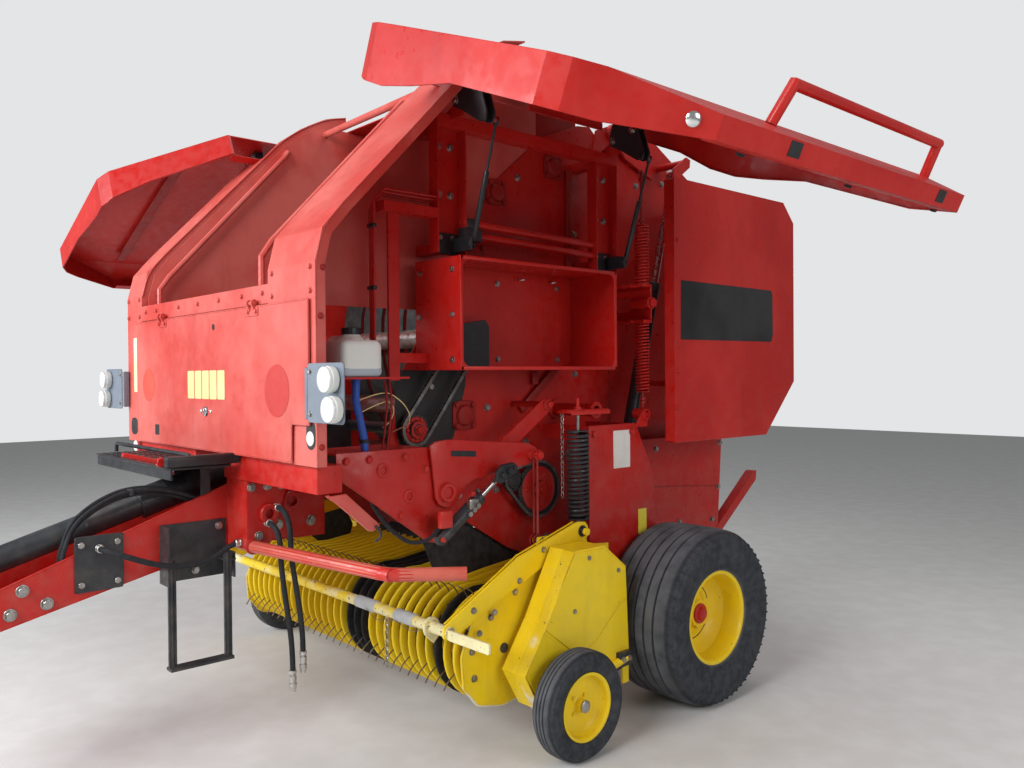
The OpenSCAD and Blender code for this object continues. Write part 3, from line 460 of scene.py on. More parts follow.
def plate(outline, axis, start, end, edge=1.5, segments=1):
    """A flat plate with an outline of points, cut square to an axis."""
    piece = profile_object([spot(axis, start, *place) for place in outline])
    bpy.ops.object.mode_set(mode="EDIT")
    bpy.ops.mesh.select_all(action="SELECT")
    bpy.ops.mesh.edge_face_add()
    draw_out(axis, start, end)
    close_up(piece)
    if edge:
        bevel(piece, edge / 1000, segments)
    return piece


def block(low, high, edge=2.5, segments=2):
    """A box between two corners, with its edges rounded."""
    low, high = point(*low), point(*high)
    only()
    bpy.ops.mesh.primitive_cube_add(size=1, location=(low + high) / 2)
    piece = bpy.context.object
    piece.scale = [abs(c) for c in high - low]
    settle(piece)
    return bevel(piece, edge / 1000, segments)


def strip(line, axis, start, end, thick, edge=0.8):
    """Bent sheet metal: a line of points drawn out along an axis, with its thickness to one side."""
    if len(line) == 2:
        line = [line[0], tuple((a + b) / 2 for a, b in zip(*line)), line[1]]
    piece = profile_object([spot(axis, start, *place) for place in line], closed=False)
    bpy.ops.object.mode_set(mode="EDIT")
    bpy.ops.mesh.select_all(action="SELECT")
    draw_out(axis, start, end)
    shape(piece, "SOLIDIFY", thickness=abs(thick) / 1000, offset=math.copysign(1, thick))
    close_up(piece)
    if edge:
        bevel(piece, edge / 1000, 1, 50)
    return piece


AXES = {"X": Vector((1, 0, 0)), "Y": Vector((0, 1, 0)), "Z": Vector((0, 0, 1))}
FORWARD = (0, -1, 0)


def turned(profile, centre, axis="X", steps=48):
    """A turned shape: a closed profile of (along, radius) spun round an axis through a centre."""
    along = AXES[axis] if isinstance(axis, str) else axis.normalized()
    out = along.cross(AXES["Y"] if abs(along.y) < 0.9 else AXES["Z"]).normalized()
    origin = point(*centre)
    piece = profile_object([origin + along * (s / 1000) + out * (r / 1000) for s, r in profile])
    bpy.ops.object.mode_set(mode="EDIT")
    bpy.ops.mesh.select_all(action="SELECT")
    bpy.ops.mesh.spin(steps=steps, angle=2 * math.pi, center=origin, axis=along)
    bpy.ops.object.mode_set(mode="OBJECT")
    return close_up(piece)


def rod(low, high, radius, centre, axis="Z", steps=14, bore=0):
    """A plain round bar between two distances along an axis, or a ring when it has a bore."""
    return turned([(low, bore), (low, radius), (high, radius), (high, bore)], centre, axis, steps)


def rounded(path, bend):
    """A path with its corners rounded off."""
    result = [path[0]]
    for before, corner, after in zip(path, path[1:], path[2:]):
        back, on = before - corner, after - corner
        reach = min(bend, back.length * 0.48, on.length * 0.48)
        first, last = corner + back.normalized() * reach, corner + on.normalized() * reach
        for k in range(6):
            t = k / 5
            result.append((1 - t) ** 2 * first + 2 * t * (1 - t) * corner + t * t * last)
    return result + [path[-1]]


def tube_along(path, radius, resolution):
    """A round tube or wire along a path of points in metres."""
    curve = bpy.data.curves.new("tube", "CURVE")
    curve.dimensions = "3D"
    curve.bevel_depth = radius / 1000
    curve.bevel_resolution = resolution
    curve.use_fill_caps = True
    line = curve.splines.new("POLY")
    line.points.add(len(path) - 1)
    for knot, place in zip(line.points, path):
        knot.co = (*place, 1)
    piece = bpy.data.objects.new("tube", curve)
    scene.collection.objects.link(piece)
    only(piece)
    bpy.ops.object.convert(target="MESH")
    return close_up(bpy.context.object)


def tube(places, radius, bend=0, resolution=3):
    """A round tube along places in millimetres, its corners rounded where it has a bend."""
    path = [point(*place) for place in places]
    return tube_along(rounded(path, bend / 1000) if bend else path, radius, resolution)


def spring(low, high, radius, wire, turns, steps=12):
    """An upright coil spring between two points."""
    low, high = point(*low), point(*high)
    path = []
    count = int(turns * steps)
    for k in range(count + 1):
        turn = 2 * math.pi * k / steps
        path.append(low + (high - low) * (k / count)
                    + Vector((math.cos(turn), math.sin(turn), 0)) * (radius / 1000))
    return tube_along(path, wire, 1)


def hanging_chain(x, y, top, count, pitch, link_radius, wire, width, length):
    """A chain hanging straight down, every other link turned."""
    only()
    bpy.ops.mesh.primitive_torus_add(major_segments=10, minor_segments=5, major_radius=link_radius,
                                     minor_radius=wire)
    link = bpy.context.object
    link.scale = (width, length, 1)
    settle(link)
    moves = []
    for k in range(count):
        turn = Matrix.Rotation(math.radians(90 * (k % 2)), 4, "Z") @ Matrix.Rotation(math.radians(90), 4, "X")
        moves.append(Matrix.Translation(point(x, y, top - k * pitch)) @ turn)
    return repeat(link, moves)


def facing(direction):
    """The turn that points +Z in a direction."""
    direction = AXES[direction] if isinstance(direction, str) else Vector(direction)
    return direction.to_track_quat("Z", "Y").to_matrix().to_4x4()


def bolt_pattern(size):
    """A hexagon head on a washer, standing on the origin."""
    only()
    bpy.ops.mesh.primitive_cylinder_add(vertices=6, radius=size * 0.00092, depth=size * 0.00068,
                                        location=(0, 0, size * 0.00052))
    head = bevel(settle(bpy.context.object), size * 0.00009, 1, 40)
    bpy.ops.mesh.primitive_cylinder_add(vertices=14, radius=size * 0.00118, depth=size * 0.0002,
                                        location=(0, 0, size * 0.0001))
    washer = bevel(settle(bpy.context.object), size * 0.00005, 1, 40)
    return join([head, washer])


def bolts(places, direction, size=10):
    """Bolt heads at places, all facing one way."""
    turn = facing(direction)
    return repeat(bolt_pattern(size), [Matrix.Translation(point(*place)) @ turn for place in places])


def side_bolts(x, places, size):
    """Bolt heads on a face square to X, at places given as (y, z)."""
    return bolts([(x, y, z) for y, z in places], "X", size)


def corner_box(width, height, radius, steps=4, centre=(0, 0)):
    """The outline of a rectangle with round corners."""
    outline = []
    for number, (sx, sy) in enumerate(((1, 1), (-1, 1), (-1, -1), (1, -1))):
        for k in range(steps + 1):
            angle = math.radians(90 * number + 90 * k / steps)
            outline.append((centre[0] + sx * (width / 2 - radius) + radius * math.cos(angle),
                            centre[1] + sy * (height / 2 - radius) + radius * math.sin(angle)))
    return outline


def ring_points(centre, radius, count, start=0.0):
    """Evenly spaced points round a centre, the first one at a starting angle in degrees."""
    return [(centre[0] + radius * math.cos(math.radians(start) + 2 * math.pi * k / count),
             centre[1] + radius * math.sin(math.radians(start) + 2 * math.pi * k / count))
            for k in range(count)]


def label(limits, axis, start, end, name, material, body, radius=6):
    """A thin plate with round corners, given by its limits (low, high, low, high) on its face."""
    left, right, bottom, top = limits
    outline = corner_box(right - left, top - bottom, radius, 3, ((left + right) / 2, (bottom + top) / 2))
    return fit(plate(outline, axis, start, end, 0.2), name, material, body)


# Hoses: their routes repeat the source's points


HOSE_DIAMETER = 0.022
HOSE_ROUTES = {
    "remote_hose_front": [
        (340, -1705, 950), (364, -1705, 950), (392, -1705, 945), (418, -1704, 932), (438, -1704, 912),
        (451, -1704, 886), (456, -1703, 858), (457, -1702, 803), (458, -1697, 747), (459, -1691, 692),
        (459, -1683, 637), (459, -1675, 581), (459, -1667, 526), (458, -1661, 471), (457, -1657, 415),
        (456, -1655, 360)],
    "remote_hose_rear": [
        (340, -1666, 1010), (366, -1666, 1010), (396, -1666, 1005), (422, -1665, 992), (444, -1665, 970),
        (457, -1664, 944), (462, -1664, 914), (463, -1662, 860), (464, -1658, 806), (465, -1651, 753),
        (465, -1642, 699), (465, -1634, 645), (465, -1626, 591), (464, -1619, 538), (463, -1614, 484),
        (462, -1612, 430)],
    "drawbar_loop_hose": [
        (156, -2300, 900), (178, -2300, 900), (206, -2294, 898), (233, -2279, 892), (256, -2254, 882),
        (272, -2220, 868), (282, -2180, 851), (288, -2135, 834), (291, -2085, 821), (293, -2035, 813),
        (293, -1985, 812), (292, -1940, 818), (290, -1900, 832), (288, -1870, 848), (287, -1850, 858),
        (287, -1832, 865), (286, -1812, 871), (285, -1801, 872.6), (285, -1790.8, 873)],
}


def lay_hose(name, route):
    """A hose as a curve through its route, smooth in every point."""
    path = [point(*place) for place in route]
    curve = bpy.data.curves.new(name, "CURVE")
    curve.dimensions = "3D"
    curve.bevel_depth = HOSE_DIAMETER / 2
    curve.bevel_resolution = 4
    curve.resolution_u = 6
    curve.use_fill_caps = True
    line = curve.splines.new("BEZIER")
    line.bezier_points.add(len(path) - 1)
    for number, (knot, place) in enumerate(zip(line.bezier_points, path)):
        before, after = path[max(number - 1, 0)], path[min(number + 1, len(path) - 1)]
        ahead = (after - before).normalized()
        back_length = (place - before).length / 3
        on_length = (after - place).length / 3
        knot.co = place
        knot.handle_left_type = knot.handle_right_type = "FREE"
        knot.handle_left = place - ahead * back_length
        knot.handle_right = place + ahead * on_length
    hose = bpy.data.objects.new(name, curve)
    scene.collection.objects.link(hose)
    curve.materials.append(HOSE)
    length = sum((b - a).length for a, b in zip(path, path[1:]))
    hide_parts("hoses")
    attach(hose, "chassis")
    return hose, path[0], length


def ferrule(name, place, away):
    """The crimped collar where a hose leaves its plate."""
    profile = [(-0.5, 10.9), (1, 15.5), (9, 16.5), (12, 14.5), (15, 16), (26, 15.5), (28, 13.5), (28, 10.9)]
    return fit(turned(profile, place, Vector(away), 20), name, ZINC, "chassis")


def coupler(name, end):
    """A quick coupler with its flats, sleeve and dust cap ring."""
    x, y, z = end
    profile = [(0, 0), (-2, 12.5), (-16, 12.5), (-18, 10.5), (-22, 10.5), (-24, 14), (-46, 14), (-48, 11.5),
               (-53, 11.5), (-55, 15), (-74, 15), (-78, 12.5), (-88, 12), (-90, 9), (-90, 0)]
    body = turned(profile, (x, y, z), "Z", 24)
    only()
    bpy.ops.mesh.primitive_cylinder_add(vertices=6, radius=0.0165, depth=0.013, location=point(x, y, z - 9))
    flats = bevel(settle(bpy.context.object), 0.0008, 1)
    return fit(join([body, flats]), name, ZINC, "chassis", "hose_couplers")


coupler_pieces = {"remote_hose_front": coupler("coupler_front", HOSE_ROUTES["remote_hose_front"][-1]),
                  "remote_hose_rear": coupler("coupler_rear", HOSE_ROUTES["remote_hose_rear"][-1])}
for hose_name, hose_route in HOSE_ROUTES.items():
    hose_piece, hose_exit, hose_length = lay_hose(hose_name, hose_route)
ferrule("hose_collar_front", (340, -1705, 950), (1, 0, 0))
ferrule("hose_collar_rear", (340, -1666, 1010), (1, 0, 0))
ferrule("loop_collar_front", (156, -2300, 900), (1, 0, 0))
ferrule("loop_collar_rear", (285, -1790.3, 873), FORWARD)


# Wheels


AXLE = (1137, 70, 410)
GAUGE_AXLE = (1245, -810, 220)


def tyre_profile():
    """The main tyre's section from bead to bead as (across, radius), with five grooves round the tread."""
    side = [(150, 207.5), (152, 214), (158, 219), (163, 216.5), (170, 226), (172.5, 238), (174.5, 240),
            (178, 252), (184, 272), (187.5, 292), (188.6, 297), (190.6, 299), (191.6, 305), (190.6, 311),
            (190.8, 318), (192.4, 335), (192.5, 352), (191, 364), (188.5, 368), (187.2, 374), (186.2, 380),
            (181, 385.5), (174, 390), (166, 398), (156, 403.5), (140, 406.2), (113, 408)]
    tread = []
    for middle in (105, 52, 0, -52, -105):
        crown = 408.6 if middle else 409.8
        tread += [(middle + 7, crown), (middle + 5.6, 406), (middle + 4.4, 398.5), (middle - 4.4, 398.5),
                  (middle - 5.6, 406), (middle - 7, crown)]
        if middle > -105:
            tread.append((middle - 26, 409.9))
    other = [(-across, radius) for across, radius in reversed(side)]
    return side + tread + other + [(-146, 204), (-120, 209), (120, 209), (146, 204)]


def wheel_finish(name, axle, inner, outer):
    """Tyre rubber with dust in a ring by the bead and painted shade in a dark band at the depth of the
    grooves, centred on the axle.

    The inner and outer radius of the tyre are in metres.
    """
    finish = Finish(name, rough=0.82, specular=0.3)
    _, y, z = point(*axle)
    shift = finish.add("ShaderNodeMapping")
    shift.inputs["Location"].default_value = (0, -y, -z)
    shift.inputs["Scale"].default_value = (0, 1, 1)
    finish.link(finish.place, shift.inputs["Vector"])
    length = finish.add("ShaderNodeVectorMath", operation="LENGTH")
    finish.link(shift.outputs["Vector"], length.inputs[0])
    radius = length.outputs["Value"]
    mottle = finish.noise(24, 7, rough=0.7)
    tone = finish.mix(finish.ramp(mottle, 0.36, 0.66, 0.0, 0.5), (0.028, 0.031, 0.038), (0.080, 0.086, 0.098))
    ring = finish.math("MULTIPLY", finish.ramp(radius, inner, inner * 1.06, 1.0, 0.0),
                       finish.ramp(finish.noise(11, 5), 0.3, 0.7, 0.5, 1.0))
    tone = finish.mix(ring, tone, (0.17, 0.16, 0.15))
    worn = finish.math("MULTIPLY", finish.ramp(radius, outer * 0.965, outer * 0.995),
                       finish.ramp(finish.noise(9, 6), 0.3, 0.62, 0.25, 0.9))
    tone = finish.mix(worn, tone, (0.115, 0.12, 0.13))
    # Painted shade: the rubber is darkened in a band at the depth of the grooves.
    groove_shade = finish.math("MULTIPLY", finish.ramp(radius, outer * 0.968, outer * 0.978, 1.0, 0.0),
                         finish.ramp(radius, outer * 0.94, outer * 0.955))
    tone = finish.mix(finish.math("MULTIPLY", groove_shade, 0.6), tone, (0.02, 0.02, 0.022))
    mud = finish.ramp(finish.noise(5, 6), 0.5, 0.8, 0.0, 0.25)
    tone = finish.mix(mud, tone, (0.14, 0.13, 0.12))
    finish.colour(tone)
    finish.roughness(finish.noise(30, 4), 0.72, 0.95)
    finish.bump(finish.noise(140, 5), 0.4, 0.0012)
    return finish.material


TREAD = wheel_finish("tyre_rubber_left", AXLE, 0.215, 0.41)
GAUGE_TREAD = wheel_finish("gauge_tyre_rubber_left", GAUGE_AXLE, 0.134, 0.22)


def lug_notches(count=60):
    """Short bars pressed round both shoulders of the tyre."""
    only()
    bpy.ops.mesh.primitive_cube_add(size=1, location=(0, 0, 0))
    bar = bpy.context.object
    bar.scale = (0.012, 0.006, 0.016)
    settle(bar)
    bevel(bar, 0.0015, 1)
    moves = []
    for k in range(count):
        turn = Matrix.Translation(point(*AXLE)) @ Matrix.Rotation(2 * math.pi * k / count, 4, "X")
        for side in (1, -1):
            lean = Matrix.Rotation(side * math.radians(-52), 4, "Y")
            moves.append(turn @ Matrix.Translation((side * 0.1835, 0, 0.3815)) @ lean)
    return repeat(bar, moves)


def main_tyre():
    return join([turned(tyre_profile(), AXLE, "X", 96), lug_notches()])


def main_rim():
    """The barrel with rolled flanges, and the dished disc with its hand holes' rolled edges."""
    barrel = turned([(-162, 191), (-164, 207), (-162, 216), (-157, 219), (-153, 215), (-151, 206.8),
                     (-120, 206.6), (120, 206.6), (151, 206.8), (153, 215), (157, 219.5), (162, 219),
                     (165, 213), (165, 206), (161, 200), (152, 196), (120, 194), (90, 192), (60, 186),
                     (20, 184), (-60, 186), (-120, 190)], AXLE, "X", 72)
    disc = turned([(62, 62), (20, 63), (10, 66), (7, 74), (8, 100), (11, 122), (20, 142), (34, 160),
                   (48, 172), (60, 182), (66, 186.2), (66, 193), (52, 193), (40, 178), (26, 166), (12, 148),
                   (2, 126), (-1, 100), (-2, 60), (-70, 60), (-70, 36), (60, 36)], AXLE, "X", 72)
    x, y, z = AXLE
    ridge = turned([(9.5, 104), (13.5, 107), (15, 111), (13.8, 115), (12, 119), (8, 119), (6, 104)],
                   AXLE, "X", 72)
    nuts = bolts([(x + 9, y + a, z + b) for a, b in ring_points((0, 0), 86, 6)], "X", 15)
    return join([barrel, disc, ridge, nuts])


def hub_cap():
    """The domed cap in the middle of the disc."""
    return turned([(58, 0), (58, 46), (66, 47.5), (70, 46), (72, 42), (74, 34), (80, 31), (86, 26), (89, 16),
                   (90, 0)], AXLE, "X", 40)


def rim_slot_shades():
    """Three arched slots pressed in the disc, drawn as black tubes: painted shade."""
    x, y, z = AXLE
    arcs = []
    for k in range(3):
        angles = [math.radians(120 * k + 18 + 8 * step) for step in range(9)]
        arcs.append(tube([(x + 14.6, y + 132 * math.cos(angle), z + 132 * math.sin(angle))
                          for angle in angles], 2.6, resolution=1))
    return join(arcs)


fit_pair([(main_tyre, "tyre_tread_", TREAD, "tyre_")], "wheel_", 28)
fit_pair([(main_rim, "rim_dish_", YELLOW, "rim_"), (hub_cap, "hub_cap_", RED, ""),
          (rim_slot_shades, "rim_slot_shades_", BLACK, "")], "wheel_")


def gauge_tyre():
    """The gauge wheel's tyre with its grooves."""
    half = [(42, 132.2), (46, 138), (50, 141), (54, 146), (58, 158), (61.5, 170), (62.5, 178), (61, 188),
            (58, 196), (57, 201), (50, 208), (42, 214), (32, 218.5), (22, 219.4), (20.6, 215), (15.4, 215),
            (14, 219.8), (3.4, 220), (2.4, 215)]
    return turned(half + [(-across, radius) for across, radius in reversed(half)], GAUGE_AXLE, "X", 72)


def gauge_rim():
    """The gauge wheel's barrel and dished disc with rivets."""
    barrel = turned([(-46, 118), (-48, 128), (-47, 134), (-44, 131.8), (44, 131.8), (46, 134), (49, 137.5),
                     (52, 137), (53, 132), (51, 126), (46, 122), (30, 120), (0, 117), (-30, 117)],
                    GAUGE_AXLE, "X", 60)
    disc = turned([(34, 26), (6, 27), (1, 34), (0, 60), (4, 90), (10, 106), (18, 114), (26, 118.5), (26, 121),
                   (14, 120), (4, 110), (-4, 92), (-8, 60), (-9, 24), (-30, 24), (-30, 12.2), (34, 12.2)],
                  GAUGE_AXLE, "X", 60)
    x, y, z = GAUGE_AXLE
    rivets = bolts([(x + 1, y + a, z + b) for a, b in ring_points((0, 0), 44, 4, 45)], "X", 8)
    return join([barrel, disc, rivets])


def gauge_cap():
    """The gauge wheel's grease cap."""
    return turned([(32, 0), (32, 22), (36, 26), (42, 25), (46, 18), (47, 8), (47, 0)], GAUGE_AXLE, "X", 32)


fit_pair([(gauge_tyre, "gauge_tread_", GAUGE_TREAD, "gauge_tyre_"),
          (gauge_rim, "gauge_dish_", YELLOW, "gauge_rim_"), (gauge_cap, "gauge_cap_", STEEL, "")],
         "gauge_wheel_", 28)


# Pickup


REEL = (-970, 420)
BLACK_BANDS = (17, 18, 19, 28)
YELLOW_CHIPPED = paint("chipped_yellow_paint", (0.80, 0.56, 0.006), (0.80, 0.76, 0.62), fade=(0.55, 0.60),
                       bare=(0.09, 0.05, 0.03), chips=0.66)
YELLOW_WORN = paint("worn_yellow_paint", (0.86, 0.62, 0.02), (0.84, 0.76, 0.42), fade=(0.46, 0.53),
                    bare=(0.09, 0.05, 0.03), chips=0.64)
SLEEVE = rubber("grey_sleeve", (0.42, 0.44, 0.44), (0.60, 0.60, 0.58), dust=0.5)
BAND_PLASTIC = rubber("black_band_plastic", (0.012, 0.012, 0.014), (0.06, 0.055, 0.05), dust=0.35, bump=0.1)


def swept(path, section, places):
    """A closed section of (out, across) drawn along a flat path of (y, z), with copies at X places."""
    def flat_curve(points, cyclic):
        curve = bpy.data.curves.new("section", "CURVE")
        curve.dimensions = "2D"
        curve.fill_mode = "NONE"
        line = curve.splines.new("POLY")
        line.points.add(len(points) - 1)
        for knot, (a, b) in zip(line.points, points):
            knot.co = (a / 1000, b / 1000, 0, 1)
        line.use_cyclic_u = cyclic
        piece = bpy.data.objects.new("section", curve)
        scene.collection.objects.link(piece)
        return piece

    outline = flat_curve(section, True)
    piece = flat_curve(path, False)
    piece.data.dimensions = "3D"
    piece.data.twist_mode = "Z_UP"
    piece.data.bevel_mode = "OBJECT"
    piece.data.bevel_object = outline
    piece.data.use_fill_caps = True
    only(piece)
    bpy.ops.object.convert(target="MESH")
    piece = bpy.context.object
    bpy.data.objects.remove(outline)
    stand = Matrix(((0, 0, 1, 0), (1, 0, 0, DATUM_Y), (0, 1, 0, 0), (0, 0, 0, 1)))
    return close_up(repeat(piece, [Matrix.Translation((x / 1000, 0, 0)) @ stand for x in places]))


def band_path():
    """A stripper band's path: from the apron over the reel and back under it."""
    path = [(-601, 661), (-760, 645), (-905, 627)]
    for k in range(21):
        angle = math.radians(84 + 10 * k)
        path.append((REEL[0] + 210 * math.cos(angle), REEL[1] + 210 * math.sin(angle)))
    return path + [(-832, 262), (-703, 560)]


BAND_SECTION = [(-20, -7), (-20, -3.5), (-17.5, -0.8), (-12, 0.8), (0, 1.4), (12, 0.8), (17.5, -0.8),
                (20, -3.5), (20, -7), (18, -7), (17.5, -4), (12, -1.4), (-12, -1.4), (-17.5, -4), (-18, -7)]
band_places = [-930 + 62 * k for k in range(31)]
yellow_places = [x for k, x in enumerate(band_places) if k not in BLACK_BANDS]
fit(swept(band_path(), BAND_SECTION, yellow_places), "stripper_bands_yellow", YELLOW, "pickup",
    "pickup_strippers", 40)
fit(swept(band_path(), BAND_SECTION, [band_places[k] for k in BLACK_BANDS]), "stripper_bands_black",
    BAND_PLASTIC, "pickup", smooth=40)


def around_reel(radius, degrees):
    """A place on the reel, the angle counted from straight up over the front."""
    angle = math.radians(degrees)
    return REEL[0] - radius * math.sin(angle), REEL[1] + radius * math.cos(angle)


def tine_row(degrees):
    """One bar's spring tines: a coil round the bar and a wire that trails behind the turn."""
    bar_y, bar_z = around_reel(150, degrees)
    path = []
    for k in range(9):
        turn = math.radians(degrees + 90 + 60 * k)
        path.append(point(-9 + k * 1.1, bar_y - 17.5 * math.sin(turn), bar_z + 17.5 * math.cos(turn)))
    for radius, lag in ((196, 1.5), (230, 2.5), (262, 4.5), (291, 8)):
        path.append(point(0, *around_reel(radius, degrees + lag)))
    wire = tube_along(path, 3, 0)
    return repeat(wire, [Matrix.Translation((-0.93 + 0.062 * (k + 0.5), 0, 0)) for k in range(30)])


def reel_core():
    """The reel's tube with its four discs, and the tine bars bolted to them."""
    discs_x = (-949, -316, 324, 949)
    pieces = [rod(-978, 978, 20, (0, *REEL), "X", 20)]
    for x in discs_x:
        pieces.append(turned([(x - 4, 19), (x - 4, 168), (x - 2.5, 170), (x + 2.5, 170), (x + 4, 168),
                              (x + 4, 19)], (0, *REEL), "X", 32))
    for k in range(4):
        y, z = around_reel(150, 90 * k + 20)
        pieces.append(tube([(-957, y, z), (957, y, z)], 14, resolution=2))
        for x in discs_x:
            for side in (-10, 10):
                pieces.append(bolts([(x + side * 0.45, y, z)], (side, 0, 0), 13))
    return join(pieces)


fit(reel_core(), "reel_tube_and_discs", BLACK, "reel", "pickup_reel")
fit(join([tine_row(90 * k + 20) for k in range(4)]), "spring_tines", TINE, "reel", smooth=60)


# Side plates: rolled front edges, covers, seams and bolts


cheek_edges = (((-1181, 300), (-1191, 430), (-1111, 591), (-961, 662), (-700, 802), (-320, 762)),
               ((-1181, 300), (-1110, 213), (-980, 183), (-860, 198), (-700, 328)))
fit(both_sides(join([tube([(969, y, z) for y, z in edge], 5.5, 20, 1) for edge in cheek_edges])),
    "cheek_rolled_edges", YELLOW_CHIPPED, "pickup")


def case_cover():
    """The outer cover, with the step of its lower panel."""
    upper = plate([(-722, 800), (-545, 800), (-408, 696), (-398, 560), (-446, 548), (-585, 430), (-700, 360),
                   (-905, 520)], "X", 1144.4, 1150, 2)
    lower = plate([(-912, 200), (-1002, 350), (-912, 508), (-703, 346), (-583, 416), (-444, 534), (-396, 546),
                   (-384, 306), (-522, 220)], "X", 1144.4, 1148, 1.5)
    return both_sides(join([upper, lower]))


# The folded flange along the front edge of the outer case, its paint knocked off
case_front = [(-722, 812), (-734, 808), (-884, 541), (-1014, 350), (-922, 186), (-905, 190)]
fit(both_sides(strip(case_front, "X", 1088, 1149, 4, 1.2)), "case_front_flanges", YELLOW_CHIPPED, "pickup")
fit(case_cover(), "case_covers", YELLOW, "pickup")


def pickup_bolts():
    """Bolts of the outer case, the cheek plate and the wind guard's arm."""
    side = side_bolts(1150, ((-640, 770), (-455, 690), (-730, 560), (-880, 260), (-560, 250)), 9)
    cheek = side_bolts(973, ((-790, 720), (-905, 640), (-1040, 560), (-1140, 440), (-1130, 330)), 13)
    arm = side_bolts(996, ((-1120, 515), (-1040, 585), (-900, 690)), 12)
    return both_sides(join([side, cheek, arm]))


fit(pickup_bolts(), "pickup_bolts", STEEL, "pickup")
fit(both_sides(bolts([(955, -700, 835), (996, -520, 850), (955, -742, 830)], "X", 22)), "pickup_pivot_nuts",
    BLACK, "pickup")
fit(both_sides(block((700, -640, 664), (860, -560, 700), 6)), "pickup_stop_blocks", YELLOW_WORN, "pickup")


# Black rubber beside and in the mouth of the chamber


mouth_left = [(-1130, 872), (-1000, 900), (-620, 800), (-590, 700), (-590, 668), (-829, 650), (-989, 642),
              (-1049, 677)]
mouth_right = [(-1094, 762), (-776, 810), (-723, 710), (-740, 652), (-936, 636)]
fit(join([plate(mouth_left, "X", 601, 607, 1.5), plate(mouth_right, "X", -607, -601, 1.5)]),
    "mouth_rubber_sheets", BELT, "pickup")
fit(strip([(-600, 668), (-585, 672), (-520, 676), (-470, 684), (-462, 692)], "X", -598, 598, 6, 1),
    "rubber_apron", BELT, "pickup", "pickup_flap")
fit(both_sides(strip([(-606, 674), (-560, 680), (-500, 690), (-470, 690)], "X", 634, 862, 5, 1)),
    "corner_rubber", BELT, "pickup")


# Wind guard


GUARD = (-1270, 548)


def on_guard(profile):
    """A turned shape on the wind guard's tube."""
    return turned(profile, (0, *GUARD), "X", 24)


def windguard_tube():
    """The tube with its bands and stop collar, and the bracket plates at its left end."""
    y, z = GUARD
    pieces = [on_guard([(-1000, 14), (-1002, 20), (-998, 23), (998, 23), (1002, 20), (1000, 14)])]
    for x in (-667, -300, -105, 201):
        pieces.append(on_guard([(x - 4, 21), (x - 3, 24.8), (x + 3, 24.8), (x + 4, 21)]))
    pieces.append(plate([(1001, z - 23), (1001, z + 13), (1012, z + 16), (1245, z + 16), (1251, z + 10),
                         (1251, z - 20), (1245, z - 26), (1012, z - 26)], "Y", y - 16, y - 4, 2))
    pieces.append(on_guard([(870, 22), (870, 37), (872, 39), (882, 39), (884, 37), (884, 22)]))
    pieces.append(plate([(y - 38, z - 14), (y - 32, z - 28), (y + 10, z - 68), (y + 35, z - 44), (y + 30, z)],
                        "X", 872, 882, 2))
    return join(pieces)


def windguard_arm():
    """The guard's long arm with its folded upper edge."""
    outline = [(-1297, 530), (-1297, 566), (-1287, 578), (-905, 789), (-566, 889), (-545, 893), (-500, 889),
               (-482, 868), (-480, 826), (-494, 814), (-640, 777), (-955, 648), (-1240, 524), (-1285, 520)]
    arm = plate(outline, "X", 985, 997, 2.5, 2)
    fold = strip([(-1284, 581), (-905, 792), (-566, 893)], "X", 978, 987, 4, 1)
    return both_sides(join([arm, fold]))


def sleeves():
    """The two grey sleeves on the guard's tube."""
    pieces = []
    for low, high in ((335, 492), (640, 775)):
        pieces.append(on_guard([(low, 22), (low, 25), (low + 3, 26.5), (high - 3, 26.5), (high, 25),
                                (high, 22)]))
    return join(pieces)


fit(windguard_tube(), "windguard_tube", YELLOW_WORN, "windguard", "windguard")
fit(windguard_arm(), "windguard_arms", YELLOW, "windguard")
fit(sleeves(), "windguard_sleeves", SLEEVE, "windguard")
fit(both_sides(side_bolts(997, ((-1262, 555), (-1150, 612), (-760, 800)), 12)), "windguard_bolts",
    STEEL, "windguard")
fit(hanging_chain(560, GUARD[0], GUARD[1] - 36, 12, 17.5, 0.0085, 0.0021, 1, 1.5), "windguard_chain", STEEL,
    "windguard", smooth=60)
guard_wire = [(900, -24, 560), (780, -26, 505), (640, -26, 540), (520, -28, 500), (420, -25, 552)]
fit(tube([(x, GUARD[0] + y, z) for x, y, z in guard_wire], 1.6, 60, 0), "windguard_wire", STEEL,
    "windguard", smooth=60)


# Gauge wheel arms


def gauge_arm():
    """The gauge wheel's arm with its clamp and hub."""
    bar = plate([(-440, 312), (-405, 318), (-395, 286), (-420, 268), (-790, 196), (-830, 204), (-834, 232),
                 (-808, 245)], "X", 1152, 1168, 3)
    clamp = block((1146, -470, 268), (1174, -392, 330), 3)
    hub = turned([(1146, 13), (1146, 27), (1148, 29), (1172, 29), (1174, 27), (1174, 13)],
                 (0, -810, 220), "X", 24)
    return both_sides(join([bar, clamp, hub]))


fit(gauge_arm(), "gauge_wheel_arms", BLACK, "pickup")
fit(both_sides(side_bolts(1174, ((-452, 300), (-412, 300)), 12)), "gauge_arm_bolts", STEEL, "pickup")


# Chain drives on the left wall


SPROCKETS = {"upper_front": (-1190, 1320, 65, 18), "upper_rear": (-930, 1660, 60, 16),
             "floor_roll": (-480, 1005, 130, 38), "starter_roll": (-640, 1060, 50, 14)}
CHAIN_X = 672


